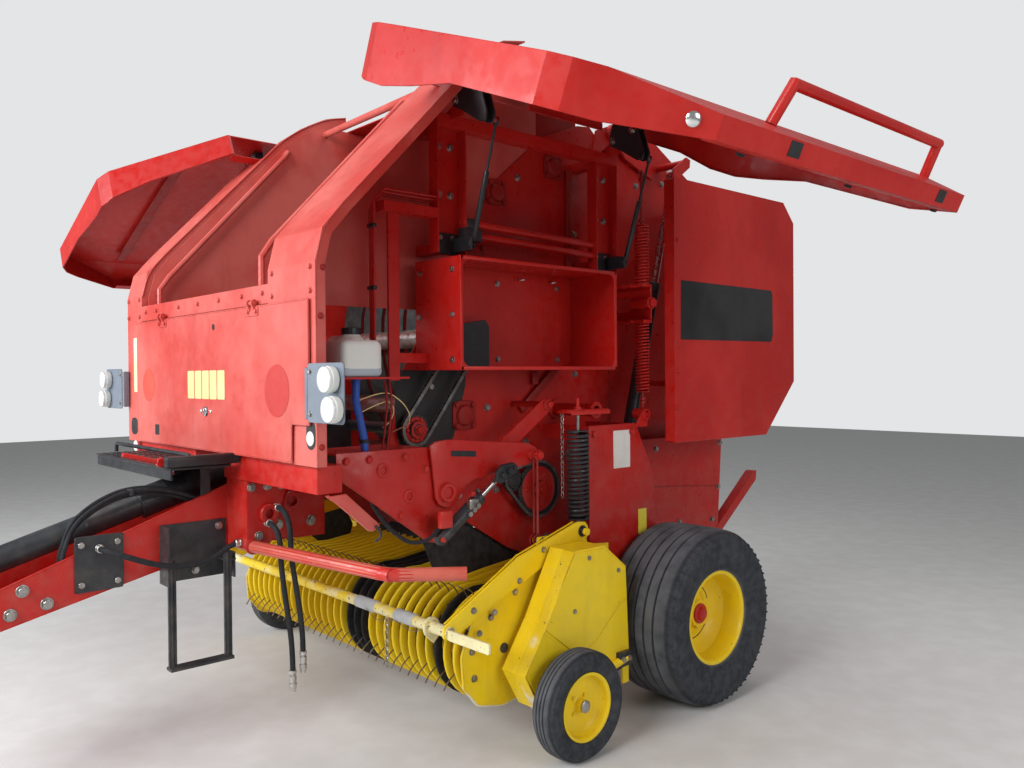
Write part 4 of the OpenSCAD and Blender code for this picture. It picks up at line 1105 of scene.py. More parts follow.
def sprocket_disc(y, z, radius, teeth):
    """A toothed disc with a hub, its teeth as a wave round the rim."""
    outline = []
    for k in range(teeth * 4):
        reach = radius + (5, 1, -3, 1)[k % 4]
        angle = 2 * math.pi * k / (teeth * 4)
        outline.append((y + reach * math.cos(angle), z + reach * math.sin(angle)))
    disc = plate(outline, "X", CHAIN_X - 3.5, CHAIN_X + 3.5, 0)
    hub = turned([(629, 30), (629, 38), (632, 40), (CHAIN_X + 8, 40), (CHAIN_X + 12, 37), (CHAIN_X + 12, 26),
                  (CHAIN_X + 16, 25), (CHAIN_X + 16, 0), (640, 0)], (0, y, z), "X", 28)
    return join([disc, hub])


def sprocket_face(y, z, radius):
    """The pressed cover of the large sprocket, with its round holes' raised rims."""
    face = turned([(CHAIN_X + 3.6, 30), (CHAIN_X + 7, 44), (CHAIN_X + 6, radius - 34),
                   (CHAIN_X + 4, radius - 24), (CHAIN_X + 3.6, radius - 22), (CHAIN_X + 1, radius - 30),
                   (CHAIN_X + 1, 30)], (0, y, z), "X", 48)
    nuts = bolts([(CHAIN_X + 5, y + a, z + b) for a, b in ring_points((0, 0), radius * 0.6, 6)], "X", 9)
    cap = turned([(CHAIN_X + 16, 0), (CHAIN_X + 16, 36), (CHAIN_X + 19, 38), (CHAIN_X + 22, 36),
                  (CHAIN_X + 24, 0)], (0, y, z), "X", 28)
    centre = bolts([(CHAIN_X + 23, y, z)], "X", 18)
    return join([face, nuts, cap, centre])


def chain_path(first, second, pitch=19.05):
    """Places round two sprockets, an even step apart, each with its direction."""
    (ya, za, ra, _), (yb, zb, rb, _) = first, second
    ra, rb = ra + 1, rb + 1
    gap = math.hypot(yb - ya, zb - za)
    heading = math.atan2(zb - za, yb - ya)
    lean = math.acos((ra - rb) / gap)
    loop = []
    for k in range(25):
        angle = heading + lean + (2 * math.pi - 2 * lean) * k / 24
        loop.append((ya + ra * math.cos(angle), za + ra * math.sin(angle)))
    for k in range(25):
        angle = heading - lean + 2 * lean * k / 24
        loop.append((yb + rb * math.cos(angle), zb + rb * math.sin(angle)))
    loop.append(loop[0])
    spans = [math.dist(a, b) for a, b in zip(loop, loop[1:])]
    count = round(sum(spans) / pitch)
    step = sum(spans) / count
    places = []
    walked = 0.0
    for (a, b), span in zip(zip(loop, loop[1:]), spans):
        while len(places) * step < walked + span and len(places) < count:
            t = (len(places) * step - walked) / span
            places.append((a[0] + (b[0] - a[0]) * t, a[1] + (b[1] - a[1]) * t))
        walked += span
    return places, step


def chain_run(first, second):
    """A roller chain round two sprockets, link by link."""
    places, step = chain_path(SPROCKETS[first], SPROCKETS[second])
    half = step / 2000
    only()
    bpy.ops.mesh.primitive_cylinder_add(vertices=8, radius=0.0062, depth=0.012, location=(0, 0, 0),
                                        rotation=(0, math.pi / 2, 0))
    roller = settle(bpy.context.object)
    links = [roller]
    for side in (-1, 1):
        x = side * 0.0068
        outline = [(-half - 0.006, -0.004), (-half - 0.003, -0.008), (0, -0.0062), (half + 0.003, -0.008),
                   (half + 0.006, -0.004), (half + 0.006, 0.004), (half + 0.003, 0.008), (0, 0.0062),
                   (-half - 0.003, 0.008), (-half - 0.006, 0.004)]
        side_link = profile_object([Vector((x, a, b)) for a, b in outline])
        bpy.ops.object.mode_set(mode="EDIT")
        bpy.ops.mesh.select_all(action="SELECT")
        bpy.ops.mesh.edge_face_add()
        bpy.ops.mesh.extrude_region_move(TRANSFORM_OT_translate={"value": (side * 0.0016, 0, 0)})
        bpy.ops.object.mode_set(mode="OBJECT")
        links.append(close_up(side_link))
    link = join(links)
    moves = []
    for k, place in enumerate(places):
        after = places[(k + 1) % len(places)]
        angle = math.atan2(after[1] - place[1], after[0] - place[0])
        middle = point(CHAIN_X + 0.54 * (k % 2), (place[0] + after[0]) / 2, (place[1] + after[1]) / 2)
        moves.append(Matrix.Translation(middle) @ Matrix.Rotation(angle, 4, "X"))
    return repeat(link, moves)


fit(join([sprocket_disc(*values) for values in SPROCKETS.values()]), "sprockets", BLACK, "chassis",
    "chain_drives")
fit(join([sprocket_face(-480, 1005, 130), sprocket_face(-1190, 1320, 78)]), "sprocket_covers", RED, "chassis")
OILY = metal("oily_chain", (0.17, 0.165, 0.16), (0.30, 0.29, 0.28), rough=0.45)
fit(join([chain_run("upper_front", "upper_rear"), chain_run("floor_roll", "starter_roll")]), "roller_chains",
    OILY, "chassis", smooth=50)


def bearing(y, z, size=1.0):
    """A four bolt flange bearing on the outside of a wall."""
    flange = plate(corner_box(130 * size, 130 * size, 34 * size, 5, (y, z)), "X", 628, 640, 2)
    dome = turned([(639, 0), (639, 48 * size), (648, 46 * size), (654, 40 * size), (656, 30 * size),
                   (656, 0)], (0, y, z), "X", 28)
    reach = 46 * size
    corners = ((1, 1), (-1, 1), (-1, -1), (1, -1))
    nuts = side_bolts(640, [(y + a * reach, z + b * reach) for a, b in corners], 13)
    return join([flange, dome, nuts])


both_places = [(-900, 1370), (-840, 2080), (-700, 2390, 0.9), (-330, 2560, 0.9)]
right_places = both_places + [(-1190, 1320), (-480, 1005), (-640, 1140, 0.7)]
left_bearings = [bearing(*place) for place in both_places]
right_bearings = mirrored(join([bearing(*place) for place in right_places]))
fit(join(left_bearings + [right_bearings]), "roller_bearings", RED_SHADED, "chassis")


# Tall springs ahead of the tailgate


TALL_SPRING = (900, 20, 0)


def tension_coils():
    """The two coils of each tall spring, with their end caps."""
    x, y, _ = TALL_SPRING
    coils = []
    for low, high in ((1462, 1796), (1994, 2280)):
        coils.append(spring((x, y, low), (x, y, high), 31.5, 5, (high - low) / 15.5))
        for z in (low - 4, high):
            coils.append(turned([(z, 8), (z, 34), (z + 1.5, 36), (z + 4, 36), (z + 5, 8)],
                                TALL_SPRING, "Z", 24))
    return both_sides(join(coils))


def tension_rods():
    """The rods of each tall spring, with their nuts and the eye at the top."""
    x, y, _ = TALL_SPRING
    bars = [rod(low, high, 7.8, TALL_SPRING) for low, high in ((1378, 1458), (2282, 2553))]
    nuts = [rod(z, z + 14, 15, TALL_SPRING, steps=6, bore=7) for z in (1400, 1418, 2300, 2500)]
    eye = tube([(x, y + 19 * math.cos(k * math.pi / 6), 2533 + 19 * math.sin(k * math.pi / 6))
                for k in range(13)], 5, resolution=2)
    return both_sides(join(bars + nuts + [eye]))


def spring_bracket():
    """The folded bracket between the two springs, with its gusset and bolts."""
    base = block((628, -15, 1799), (940, 50, 1815), 3)
    top = block((628, -15, 1975), (940, 50, 1991), 3)
    web = plate([(628, 1810), (940, 1810), (940, 1980), (628, 1980), (628, 1930), (800, 1930), (840, 1895),
                 (800, 1860), (628, 1860)], "Y", 40, 50, 1.5)
    pin = turned([(842, 0), (842, 20), (846, 24), (958, 24), (962, 20), (962, 0)], (0, 12, 1895), "X", 24)
    nut = bolts([(962, 12, 1895)], "X", 26)
    screws = bolts([(680, -15, 1807), (760, -15, 1807), (860, -15, 1807), (680, -15, 1983), (860, -15, 1983)],
                   FORWARD, 12)
    return both_sides(join([base, top, web, pin, nut, screws]))


fit(tension_coils(), "tall_spring_coils", RED, "chassis", "tension_springs", 50)
fit(tension_rods(), "tall_spring_rods", RED_SHADED, "chassis")
fit(spring_bracket(), "tall_spring_brackets", RED, "chassis")


# Black pickup springs: they stretch between the slotted bracket and the pickup


def lift_spring(sign):
    """The coil of a pickup spring between its two caps."""
    x = 950 * sign
    coil = spring((x, -495, 902), (x, -495, 1290), 45, 7.4, 388 / 19.5, steps=16)
    caps = [turned([(z, 8), (z, 46), (z + 2, 50), (z + 6, 50), (z + 8, 8)], (x, -495, 0), "Z", 24)
            for z in (894, 1290)]
    return join([coil] + caps)


def lift_spring_rod(sign):
    """The rods above and below a pickup spring, with thread and nut."""
    centre = (950 * sign, -495, 0)
    bars = [rod(low, high, 7.8, centre) for low, high in ((1290, 1373.5), (820.4, 900))]
    threads = [turned([(z, 7), (z + 1.2, 9), (z + 2.4, 7)], centre, "Z", 12) for z in range(1302, 1368, 4)]
    return join(bars + [rod(838, 852, 15, centre, steps=6, bore=7)] + threads)


for side_name, sign in (("left", 1), ("right", -1)):
    for make, name, material in ((lift_spring, "pickup_spring_coil_", BLACK),
                                 (lift_spring_rod, "pickup_spring_rod_", STEEL)):
        piece = finished(make(sign), name + side_name, material, 50)
        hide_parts("lift_springs")
        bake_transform(piece)


def spring_top():
    """Slotted bracket over the pickup spring, with the nut, washers and the tube's ring end."""
    ledge = plate(corner_box(88, 258, 12, 3, (925, -430)), "Z", 1384, 1389, 1)
    lip = strip([(882, 1386), (970, 1386), (974, 1382), (974, 1366)], "Y", -558, -302, 4, 0.8)
    nut = rod(1389, 1403, 17, (950, -495, 0), steps=6, bore=8)
    washer = rod(1389, 1392, 26, (950, -495, 0), steps=24, bore=9)
    thread = turned([(1380, 0), (1380, 7.8), (1440, 7.8), (1442, 6), (1442, 0)], (950, -495, 0), "Z", 14)
    ring = turned([(886, 30), (886, 38), (889, 40), (903, 40), (906, 37), (906, 21), (886, 21)],
                  (0, -320, 1380), "X", 32)
    collar = turned([(628, 30), (628, 46), (631, 48), (640, 48), (643, 45), (643, 30)],
                    (0, -320, 1380), "X", 32)
    return both_sides(join([ledge, lip, nut, washer, thread, ring, collar]))


fit(spring_top(), "pickup_spring_brackets", RED, "chassis")

for side_name, x in (("left", 900), ("right", -900)):
    fit(hanging_chain(x, -545, 1372, 17, 23, 0.010, 0.0024, 0.75, 1.45), "transport_chain_" + side_name,
        STEEL, "chassis", smooth=60)


def tension_arm():
    """The short arm beside the wall that runs up to the cross tube."""
    outline = [(-912, 1222), (-872, 1268), (-624, 1440), (-590, 1444), (-566, 1412), (-586, 1380),
               (-846, 1204), (-890, 1198)]
    arm = plate(outline, "X", 850, 860, 2)
    ends = ((-880, 1230), (-600, 1413))
    rings = [turned([(842, 14), (842, 24), (845, 26), (868, 26), (870, 24), (870, 14)], (0, y, z), "X", 24)
             for y, z in ends]
    ties = [tube([(640, y, z), (850, y, z)], radius, resolution=3) for (y, z), radius in zip(ends, (14, 15))]
    return join([arm, side_bolts(870, ends, 18)] + ties + rings)


fit(tension_arm(), "tension_arm", RED, "chassis")


# Lift link, rods and cylinder


def link_plate():
    """The lift link with the raised eyes of its pivot and of its rods."""
    outline = [(-1290, 1270), (-1262, 1286), (-1200, 1291), (-760, 1251), (-716, 1232), (-698, 1208),
               (-708, 1172), (-760, 1160), (-1060, 1121), (-1108, 1098), (-1150, 1045), (-1175, 1024),
               (-1205, 1018), (-1244, 1032), (-1262, 1060), (-1272, 1150)]
    link = plate(outline, "X", 895.6, 906.4, 2.2, 2)
    eyes = [turned([(905, r - 12), (905, r), (908, r + 2), (922, r + 2), (924, r), (924, r - 12)], (0, y, z),
                   "X", 28) for y, z, r in ((-1210, 1080, 36), (-740, 1200, 22))]
    nuts = bolts([(950, -740, 1200), (958, -930, 1150)], "X", 20)
    pins = [tube([(906, y, z), (end, y, z)], radius, resolution=2)
            for y, z, end, radius in ((-930, 1150, 958, 10), (-740, 1200, 950, 12))]
    return join([link, nuts] + eyes + pins)


def link_shade_plates():
    """Painted shade: dark plates in the long slot of the link and in the hollow of its pivot tube."""
    slot = plate([(-1186, 1223), (-1186, 1246), (-1056, 1236), (-1056, 1213)], "X", 906.6, 908, 0.5)
    return join([slot, rod(906.6, 908, 23.6, (0, -1210, 1080), "X", 28)])


def link_rods():
    """The two rods down to the pickup, each with an eye at its foot and a nut on the link."""
    rods = []
    for x in (918, 940):
        rods.append(tube([(x, -740, 1196), (x, -740, 858)], 5.4, resolution=2))
        rods.append(turned([(x - 5, 18.4), (x - 5, 26), (x - 4, 27), (x + 4, 27), (x + 5, 26), (x + 5, 18.4)],
                           (0, -740, 830), "X", 24))
        rods.append(rod(1186, 1214, 10, (x, -740, 0)))
    return join(rods)


fit(link_plate(), "lift_link_plate", RED, "lift_link", "lift_link")
fit(link_shade_plates(), "lift_link_shade_plates", BLACK, "lift_link")
fit(link_rods(), "lift_link_rods", RED_SHADED, "lift_link")

# The lift cylinder's eyes, in millimetres from the datum line
LIFT_FOOT = Vector((940, -1265, 905))
LIFT_EYE = Vector((940, -930, 1150))
LIFT_AIM = (LIFT_EYE - LIFT_FOOT).normalized()


def lift_cylinder():
    """The barrel of the lift cylinder with the eye at its foot."""
    body = turned([(0, 0), (0, 20), (4, 24), (22, 27), (60, 27.6), (64, 27), (218, 27), (222, 29.5),
                   (246, 29.5), (250, 26), (250, 15), (240, 14.6)], LIFT_FOOT, LIFT_AIM, 32)
    eye = turned([(-14, 10.5), (-14, 23), (-12, 25), (12, 25), (14, 23), (14, 10.5)], LIFT_FOOT, "X", 28)
    return join([body, eye])


def lift_ports():
    """Valve block and unions on the cylinder's flank."""
    blocks = [block((958, -1296, 952), (982, -1236, 1020), 5)]
    for distance, offset, half in ((62, (0, -20, 26), (15, 17, 14)), (222, (0, -18, 30), (11, 12, 10))):
        middle = LIFT_FOOT + LIFT_AIM * distance + Vector(offset)
        blocks.append(block(middle - Vector(half), middle + Vector(half), 3))
    return join(blocks)


def port_block():
    """Steel block with nuts at the eye of the cylinder's rod."""
    near = LIFT_FOOT + LIFT_AIM * 196
    nuts = [rod(0, 15, 11, LIFT_FOOT + LIFT_AIM * reach + Vector((26, 0, 0)), "X", 6)
            for reach in (150, 176, 200)]
    return join([block(near + Vector((6, -34, -14)), near + Vector((30, 14, 30)), 4)] + nuts)


fit(lift_cylinder(), "lift_cylinder_barrel", BLACK, "lift_barrel", "lift_barrel")
fit(lift_ports(), "lift_cylinder_ports", RED, "lift_barrel")
fit(port_block(), "lift_cylinder_block", STEEL, "lift_barrel")

# The black hose that loops from the cylinder's port back to the channel
loop_hose = tube([(940, -1224, 965), (945, -1262, 962), (945, -1330, 905), (925, -1410, 905),
                  (890, -1480, 970), (860, -1530, 1060), (846, -1560, 1160)], 8, 70, 2)
finished(loop_hose, "lift_cylinder_hose", HOSE, 50)
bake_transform(loop_hose)


def lift_rod_piece():
    """The bright rod of the lift cylinder with its eye."""
    bar = turned([(120, 0), (120, 13.9), (388, 13.9), (392, 0)], LIFT_FOOT, LIFT_AIM, 24)
    eye = turned([(927, 10.8), (927, 22), (929, 24), (951, 24), (953, 22), (953, 10.8)],
                 (0, -930, 1150), "X", 28)
    return join([bar, eye])


fit(lift_rod_piece(), "lift_cylinder_rod_piece", BRIGHT, "lift_rod", "lift_rod")


def rod_block():
    """The black fitting block at the rod's eye."""
    head = plate([(-1004, 1112), (-1000, 1150), (-972, 1176), (-906, 1184), (-884, 1166), (-890, 1134),
                  (-936, 1120), (-970, 1098)], "X", 955, 976, 5)
    nuts = [rod(976, 976 + deep, r, (0, y, z), "X", 6)
            for y, z, r, deep in ((-972, 1136, 13, 12), (-936, 1150, 15, 16), (-905, 1160, 10, 10))]
    return join([head] + nuts)


fit(rod_block(), "lift_cylinder_rod_block", BLACK, "lift_rod")


def side_channel():
    """The channel's side plate with its pivot ring, rolled holes, bolts and the cylinder's pin."""
    outline = [(-1700, 1266), (-1292, 1266), (-1178, 1132), (-1158, 1070), (-1166, 1030), (-1226, 892),
               (-1246, 879), (-1288, 889), (-1700, 1180)]
    side = plate(outline, "X", 879.6, 888.6, 2, 2)
    ring = turned([(888, 30), (888, 44), (891, 46), (900, 46), (903, 43), (903, 30), (894, 30)],
                  (0, -1210, 1080), "X", 32)
    hole_rims = [turned([(888, 15), (888, 24), (890, 26), (894, 26), (895, 23), (895, 15)], (0, y, z), "X",
                        24) for y, z in ((-1500, 1190), (-1380, 1080))]
    nuts = side_bolts(889, ((-1660, 1235), (-1560, 1235), (-1400, 1235), (-1420, 1010), (-1300, 1180)), 14)
    pin = turned([(888, 0), (888, 9.6), (961, 9.6), (963, 8), (963, 0)], (0, -1265, 905), "X", 20)
    return both_sides(join([side, ring, nuts, pin] + hole_rims))


fit(side_channel(), "side_channel_plates", RED, "chassis")


# Side doors: details are placed on the closed door and swung open with it


DOOR_OPEN = math.radians(66)
DOOR_HINGE = point(900, 0, 2660)
OPEN_DOOR = (Matrix.Translation(DOOR_HINGE) @ Matrix.Rotation(-DOOR_OPEN, 4, "Y")
             @ Matrix.Translation(-DOOR_HINGE))
BEAMS_Y = (-1115, -165)
STRUTS_Y = (-1063, -113)
CHROME = metal("chrome", (0.85, 0.85, 0.86), (0.7, 0.7, 0.72), rough=0.12)
TRIM = rubber("edge_trim", (0.012, 0.012, 0.014), (0.04, 0.04, 0.04), dust=0.3, bump=0.05)
LABEL_YELLOW = paint("label_yellow", (0.80, 0.66, 0.06), (0.82, 0.72, 0.30), chips=0.8)
LABEL_CREAM = paint("label_cream", (0.82, 0.66, 0.30), (0.84, 0.76, 0.56), chips=0.8)
LABEL_WHITE = paint("label_white", (0.78, 0.76, 0.72), (0.70, 0.62, 0.56), chips=0.8)
# Flat black paint for bands and covers, and painted shade in holes and slots.
FLAT_BLACK_AND_HOLE_SHADE = paint("flat_black_and_hole_shade", (0.012, 0.012, 0.014), (0.03, 0.03, 0.032), chips=0.85, dust=0.15)
WHITE_PLASTIC = rubber("white_plastic", (0.74, 0.76, 0.72), (0.62, 0.66, 0.60), dust=0.15, bump=0.03)
BLUE = paint("blue_hose", (0.02, 0.09, 0.42), (0.03, 0.12, 0.45), chips=0.9)
OIL = rubber("oil_in_tank", (0.40, 0.46, 0.52), (0.50, 0.56, 0.60), dust=0.1, bump=0.02)
lamp_glass = Finish("lamp_glass", rough=0.12, specular=0.7)
lamp_glass.colour(lamp_glass.mix(lamp_glass.ramp(lamp_glass.noise(60, 3), 0.3, 0.7), (0.72, 0.74, 0.75),
                                 (0.86, 0.87, 0.86)))
GLASS = lamp_glass.material


def door_brackets():
    """The twin hinge plates on each beam, with the block between them."""
    pieces = []
    for y in BEAMS_Y:
        for side in (-20, 20):
            pieces.append(plate([(875, 2669), (900, 2688), (1056, 2702), (1061, 2599), (900, 2453),
                                 (864, 2448), (853, 2480), (871, 2600)], "Y", y + side - 4.6,
                                y + side + 4.6, 1.2))
        pieces.append(plate(corner_box(120, 150, 14, 3, (1000, 2620)), "Y", y - 15, y + 15, 2))
    return join(pieces)


def door_bracket_bolts():
    """The screws through the twin hinge plates."""
    places = [(x, y - 25, z) for y in BEAMS_Y
              for x, z in ((1030, 2670), (1030, 2620), (975, 2560), (900, 2660))]
    return bolts(places, FORWARD, 15)


def door_lips():
    """Folded lips along the open inner edges of the door's end bands."""
    lower = strip([(1018, 1118), (1012, 1166)], "Y", -1450, 66, 4, 1)
    upper = strip([(935, 2784), (935, 2730)], "Y", -1325, 66, 4, 1)
    rear = strip([(1012, 1160), (985, 1290), (972, 1760), (930, 1960), (905, 2110), (905, 2250), (935, 2450),
                  (935, 2740)], "Y", 58, 70, 4, 1)
    return join([lower, upper, rear])


def door_ribs():
    """Pressed stiffening ribs on the inner face of the skin."""
    line = [(1082, 1380), (1078, 1560), (1068, 1850), (1062, 2060), (1051, 2420)]
    return join([strip(line, "Y", y - 26, y + 26, -9, 4) for y in (-1480, -1020, -560, -230)])


def door_button():
    """The bright reflector button on the slanted part of the edge band."""
    return turned([(-1, 0), (-1, 19), (3, 20), (6, 17), (9, 10), (10, 0)], (1055, -1521, 1153),
                  Vector((0, -0.557, -0.831)), 28)


def door_buttons():
    """Rubber stops along the lower lip."""
    return join([turned([(0, 0), (0, 13), (-5, 13), (-8, 9), (-9, 0)], (1008, y, 1140), "X", 16)
                 for y in (-1300, -700, -60)])


def door_slot_shades():
    """Drain slots through the lower edge band, shown by dark plates as painted shade."""
    return join([plate([(x, y), (x + 44, y), (x + 44, y + 62), (x, y + 62)], "Z", 1110.2, 1111.8, 0.4)
                 for x, y in ((1036, -1130), (1036, -140))])


for make, name, material in ((door_brackets, "hinge_brackets", BLACK),
                             (door_bracket_bolts, "hinge_bolts", STEEL), (door_lips, "inner_lips", RED),
                             (door_ribs, "inner_ribs", RED_SHADED), (door_button, "button", CHROME),
                             (door_buttons, "stop_buttons", TRIM), (door_slot_shades, "drain_slot_shades", FLAT_BLACK_AND_HOLE_SHADE)):
    for side_name, move in (("left", OPEN_DOOR), ("right", MIRROR @ OPEN_DOOR)):
        fit(close_up(repeat(make(), [move])), "door_%s_%s" % (name, side_name), material,
            "door_" + side_name, smooth=40)


# Door frames: beams' bolts, brackets and strut feet


def frame_bolts():
    """Bolts on both faces of the uprights that carry the door."""
    places = [(780, y + dy, z) for y in BEAMS_Y for dy in (-45, 45) for z in (2090, 2540)]
    outer = [(786, y + dy, z) for y in BEAMS_Y for dy in (-30, 30) for z in (2120, 2300, 2500)]
    return both_sides(join([bolts(places, (-1, 0, 0), 14), bolts(outer, "X", 14)]))


def frame_feet():
    """Black brackets at the struts' feet with their pins."""
    pieces = []
    for y in BEAMS_Y:
        pieces.append(plate([(786, 2058), (924, 2058), (924, 2112), (880, 2120), (786, 2120)], "Y",
                            y + 28, y + 40, 2))
        pieces.append(block((786, y - 60, 2052), (798, y + 62, 2140), 3))
        pieces.append(turned([(26, 0), (26, 13), (29, 15), (36, 15), (36, 0)], (905, y, 2085), "Y", 20))
    return both_sides(join(pieces))


fit(frame_bolts(), "door_frame_bolts", STEEL, "chassis")
fit(frame_feet(), "strut_feet", BLACK, "chassis")
# The small valve block at the front of the two rails
fit(join([block((800, -1058, 2110), (846, -960, 2166), 5), block((804, -1040, 2164), (842, -985, 2206), 4)]),
    "rail_valve_block", BLACK, "chassis")


# Gas struts


# Heights and distances across of the struts' eyes, in millimetres
STRUT_FOOT, STRUT_TOP = Vector((905, 0, 2085)), Vector((1060, 0, 2560))
STRUT_AIM = STRUT_TOP - STRUT_FOOT


def strut_barrel():
    """The barrels of one door's two gas struts, with the eyes at their feet."""
    pieces = []
    for y in STRUTS_Y:
        foot = STRUT_FOOT + Vector((0, y, 0))
        pieces.append(turned([(14, 0), (14, 9), (18, 11.4), (292, 11.4), (300, 9), (300, 6.2), (290, 6.2),
                              (290, 0)], foot, STRUT_AIM, 20))
        pieces.append(turned([(-6, 6.5), (-6, 13), (-4, 14.5), (4, 14.5), (6, 13), (6, 6.5)], foot, "Y", 20))
    return join(pieces)


def strut_rod():
    """The rods of one door's two gas struts, with the eyes at their tops."""
    pieces = []
    for y in STRUTS_Y:
        foot, top = STRUT_FOOT + Vector((0, y, 0)), STRUT_TOP + Vector((0, y, 0))
        pieces.append(rod(126, 484, 5.7, foot, STRUT_AIM, 16))
        pieces.append(turned([(476, 0), (476, 9), (492, 10), (492, 0)], foot, STRUT_AIM, 16))
        pieces.append(turned([(-6, 6), (-6, 12), (-4, 13.5), (4, 13.5), (6, 12), (6, 6)], top, "Y", 20))
    return join(pieces)


for side_name in ("left", "right"):
    for make, name, material in ((strut_barrel, "strut_barrels_", BLACK), (strut_rod, "strut_rods_", BLACK)):
        piece = make() if side_name == "left" else mirrored(make())
        fit(piece, "gas_" + name + side_name, material, name + side_name, name + side_name)


# Twine boxes


def box_rims():
    """The turned-in rim round each box's opening, with webs across its corners."""
    rims = [block((992, low_y, low_z), (1003, high_y, high_z), 2)
            for low_y, high_y, low_z, high_z in ((-1206, -285, 2006, 2021), (-1206, -285, 1569, 1584),
                                                 (-1207, -1192, 1569, 2021), (-299, -284, 1569, 2021))]
    for y, z, a, b in ((-1192, 2006, 1, -1), (-299, 2006, -1, -1), (-1192, 1584, 1, 1), (-299, 1584, -1, 1)):
        curve = [(y + a * 34 * (1 - math.sin(k * math.pi / 8)), z + b * 34 * (1 - math.cos(k * math.pi / 8)))
                 for k in range(5)]
        rims.append(plate([(y - a, z - b)] + curve, "X", 994, 1001, 0.8))
    return both_sides(join(rims))


def box_divider():
    """The dark divider and shelf inside the box."""
    leaf = plate([(-1010, 1578), (-1010, 1770), (-880, 1790), (-860, 1760), (-860, 1578)], "X", 760, 768, 1.5)
    foot = strip([(-1010, 1580), (-860, 1580)], "X", 720, 960, 5, 1)
    return both_sides(join([leaf, foot]))


def box_bolts():
    """Bolts on the box's front face and on its back wall."""
    front = bolts([(x, -1206, z) for x in (730, 950) for z in (1610, 1790, 1970)], FORWARD, 11)
    inside = bolts([(706, y, z) for y in (-1120, -760, -380) for z in (1620, 1960)], "X", 12)
    return both_sides(join([front, inside]))


fit(box_rims(), "twine_box_rims", RED, "chassis")
fit(box_divider(), "twine_box_dividers", BLACK, "chassis")
fit(box_bolts(), "twine_box_bolts", STEEL, "chassis")


def twine_guides():
    """Small twine rings on the box's back wall."""
    rings = []
    for y in (-1000, -620, -420):
        only()
        bpy.ops.mesh.primitive_torus_add(major_segments=16, minor_segments=6, major_radius=0.014,
                                         minor_radius=0.003, location=point(722, y, 1985))
        rings.append(settle(bpy.context.object))
        rings.append(tube([(706, y, 1985), (710, y, 1985)], 4, resolution=1))
    return both_sides(join(rings))


fit(twine_guides(), "twine_guides", ZINC, "chassis", smooth=60)


# Oil tank, its blue hose and the pipes' clamps


def tank_body():
    """The tank with its round shoulder and moulded seam."""
    body = block((778, -1692, 1544), (932, -1518, 1682), 26, 5)
    shoulder = turned([(1664, 0), (1664, 66), (1680, 60), (1690, 44), (1697, 36), (1704, 34), (1704, 0)],
                      (855, -1612, 0), "Z", 40)
    seam = tube([(788, -1680, 1612), (922, -1680, 1612), (922, -1530, 1612), (788, -1530, 1612),
                 (788, -1680, 1612)], 1.6, 20, 1)
    return join([body, shoulder, seam])


def tank_cap():
    """The screw cap with its grip ridges."""
    outline = []
    for k in range(32):
        reach = 35 if k % 2 else 37.5
        outline.append((855 + reach * math.cos(k * math.pi / 16), -1612 + reach * math.sin(k * math.pi / 16)))
    return plate(outline, "Z", 1702, 1728, 2)


fit(tank_body(), "oil_tank_body", WHITE_PLASTIC, "chassis", "oil_tank", 50)
fit(tank_cap(), "oil_tank_cap", BLACK, "chassis")
# The oil seen through the wall of the tank
fit(block((777, -1693, 1543), (933, -1517, 1594), 25, 5), "oil_tank_liquid", OIL, "chassis", smooth=50)
fit(tube([(860, -1592, 1552), (860, -1596, 1500), (860, -1597, 1450), (860, -1580, 1390), (860, -1562, 1310),
          (860, -1560, 1262)], 15, 60, 3), "oil_feed_hose", BLUE, "chassis")
fit(turned([(1296, 14), (1296, 18), (1298, 20), (1308, 20), (1310, 18), (1310, 14)], (860, -1561, 0), "Z",
           24), "oil_feed_clamp", BLACK, "chassis")
fit(join([tube([(800, -1560, 1452), (800, -1470, 1478), (800, -1409, 1484), (800, -1340, 1440),
                (790, -1300, 1390), (760, -1288, 1350), (650, -1290, 1316)], 2.4, 60, 2),
          tube([(800, -1560, 1400), (800, -1470, 1436), (800, -1410, 1452), (800, -1382, 1418),
                (800, -1400, 1370), (800, -1440, 1345)], 2.4, 60, 2)]), "oil_drip_lines", LABEL_CREAM,
    "chassis", smooth=60)
fit(join([tube([(x, y, 1530), (x, y + 13, 1450), (x, y + 3, 1358), (x, y - 13, 1262)], 4.5, 60, 2)
          for x, y in ((812, -1437), (826, -1425))]), "oil_down_lines", RED_SHADED, "chassis", smooth=60)

# Dark belt guard on the chamber wall behind the chains
fit(plate([(-1268, 1572), (-884, 1572), (-888, 1500), (-956, 1277), (-986, 1236), (-1240, 1236),
           (-1262, 1330)], "X", 628.5, 632, 1), "chain_wall_cover", FLAT_BLACK_AND_HOLE_SHADE, "chassis")
# The inner panel that closes the side between the chamber wall and the roof
fit(both_sides(plate([(-446, 2600), (-446, 2966), (-152, 2966), (-152, 2780), (-300, 2690)], "X", 613, 619.5,
                     1)), "upper_inner_panels", RED_SHADED, "chassis")
fit(join([block((790, -1499, z), (838, -1482, z + 16), 3) for z in (1640, 1880, 2120)]), "oil_pipe_clamps",
    BLACK, "chassis")


# Lamps


def lamp_plates():
    """The grey plate on its folded holder."""
    return both_sides(join([plate(corner_box(240, 204, 16, 4, (1086, 1492)), "Y", -1854.6, -1849.4, 1.2),
                            strip([(941, 1400), (941, 1580)], "Y", -1850, -1826, 4, 1),
                            block((940, -1852, 1402), (957, -1824, 1578), 2)]))


def lamp_parts(profile, y):
    """The same turned part on both lamps of each plate."""
    return both_sides(join([turned(profile, (x, y, z), "Y", 32) for x, z in ((1146, 1538), (1168, 1440))]))


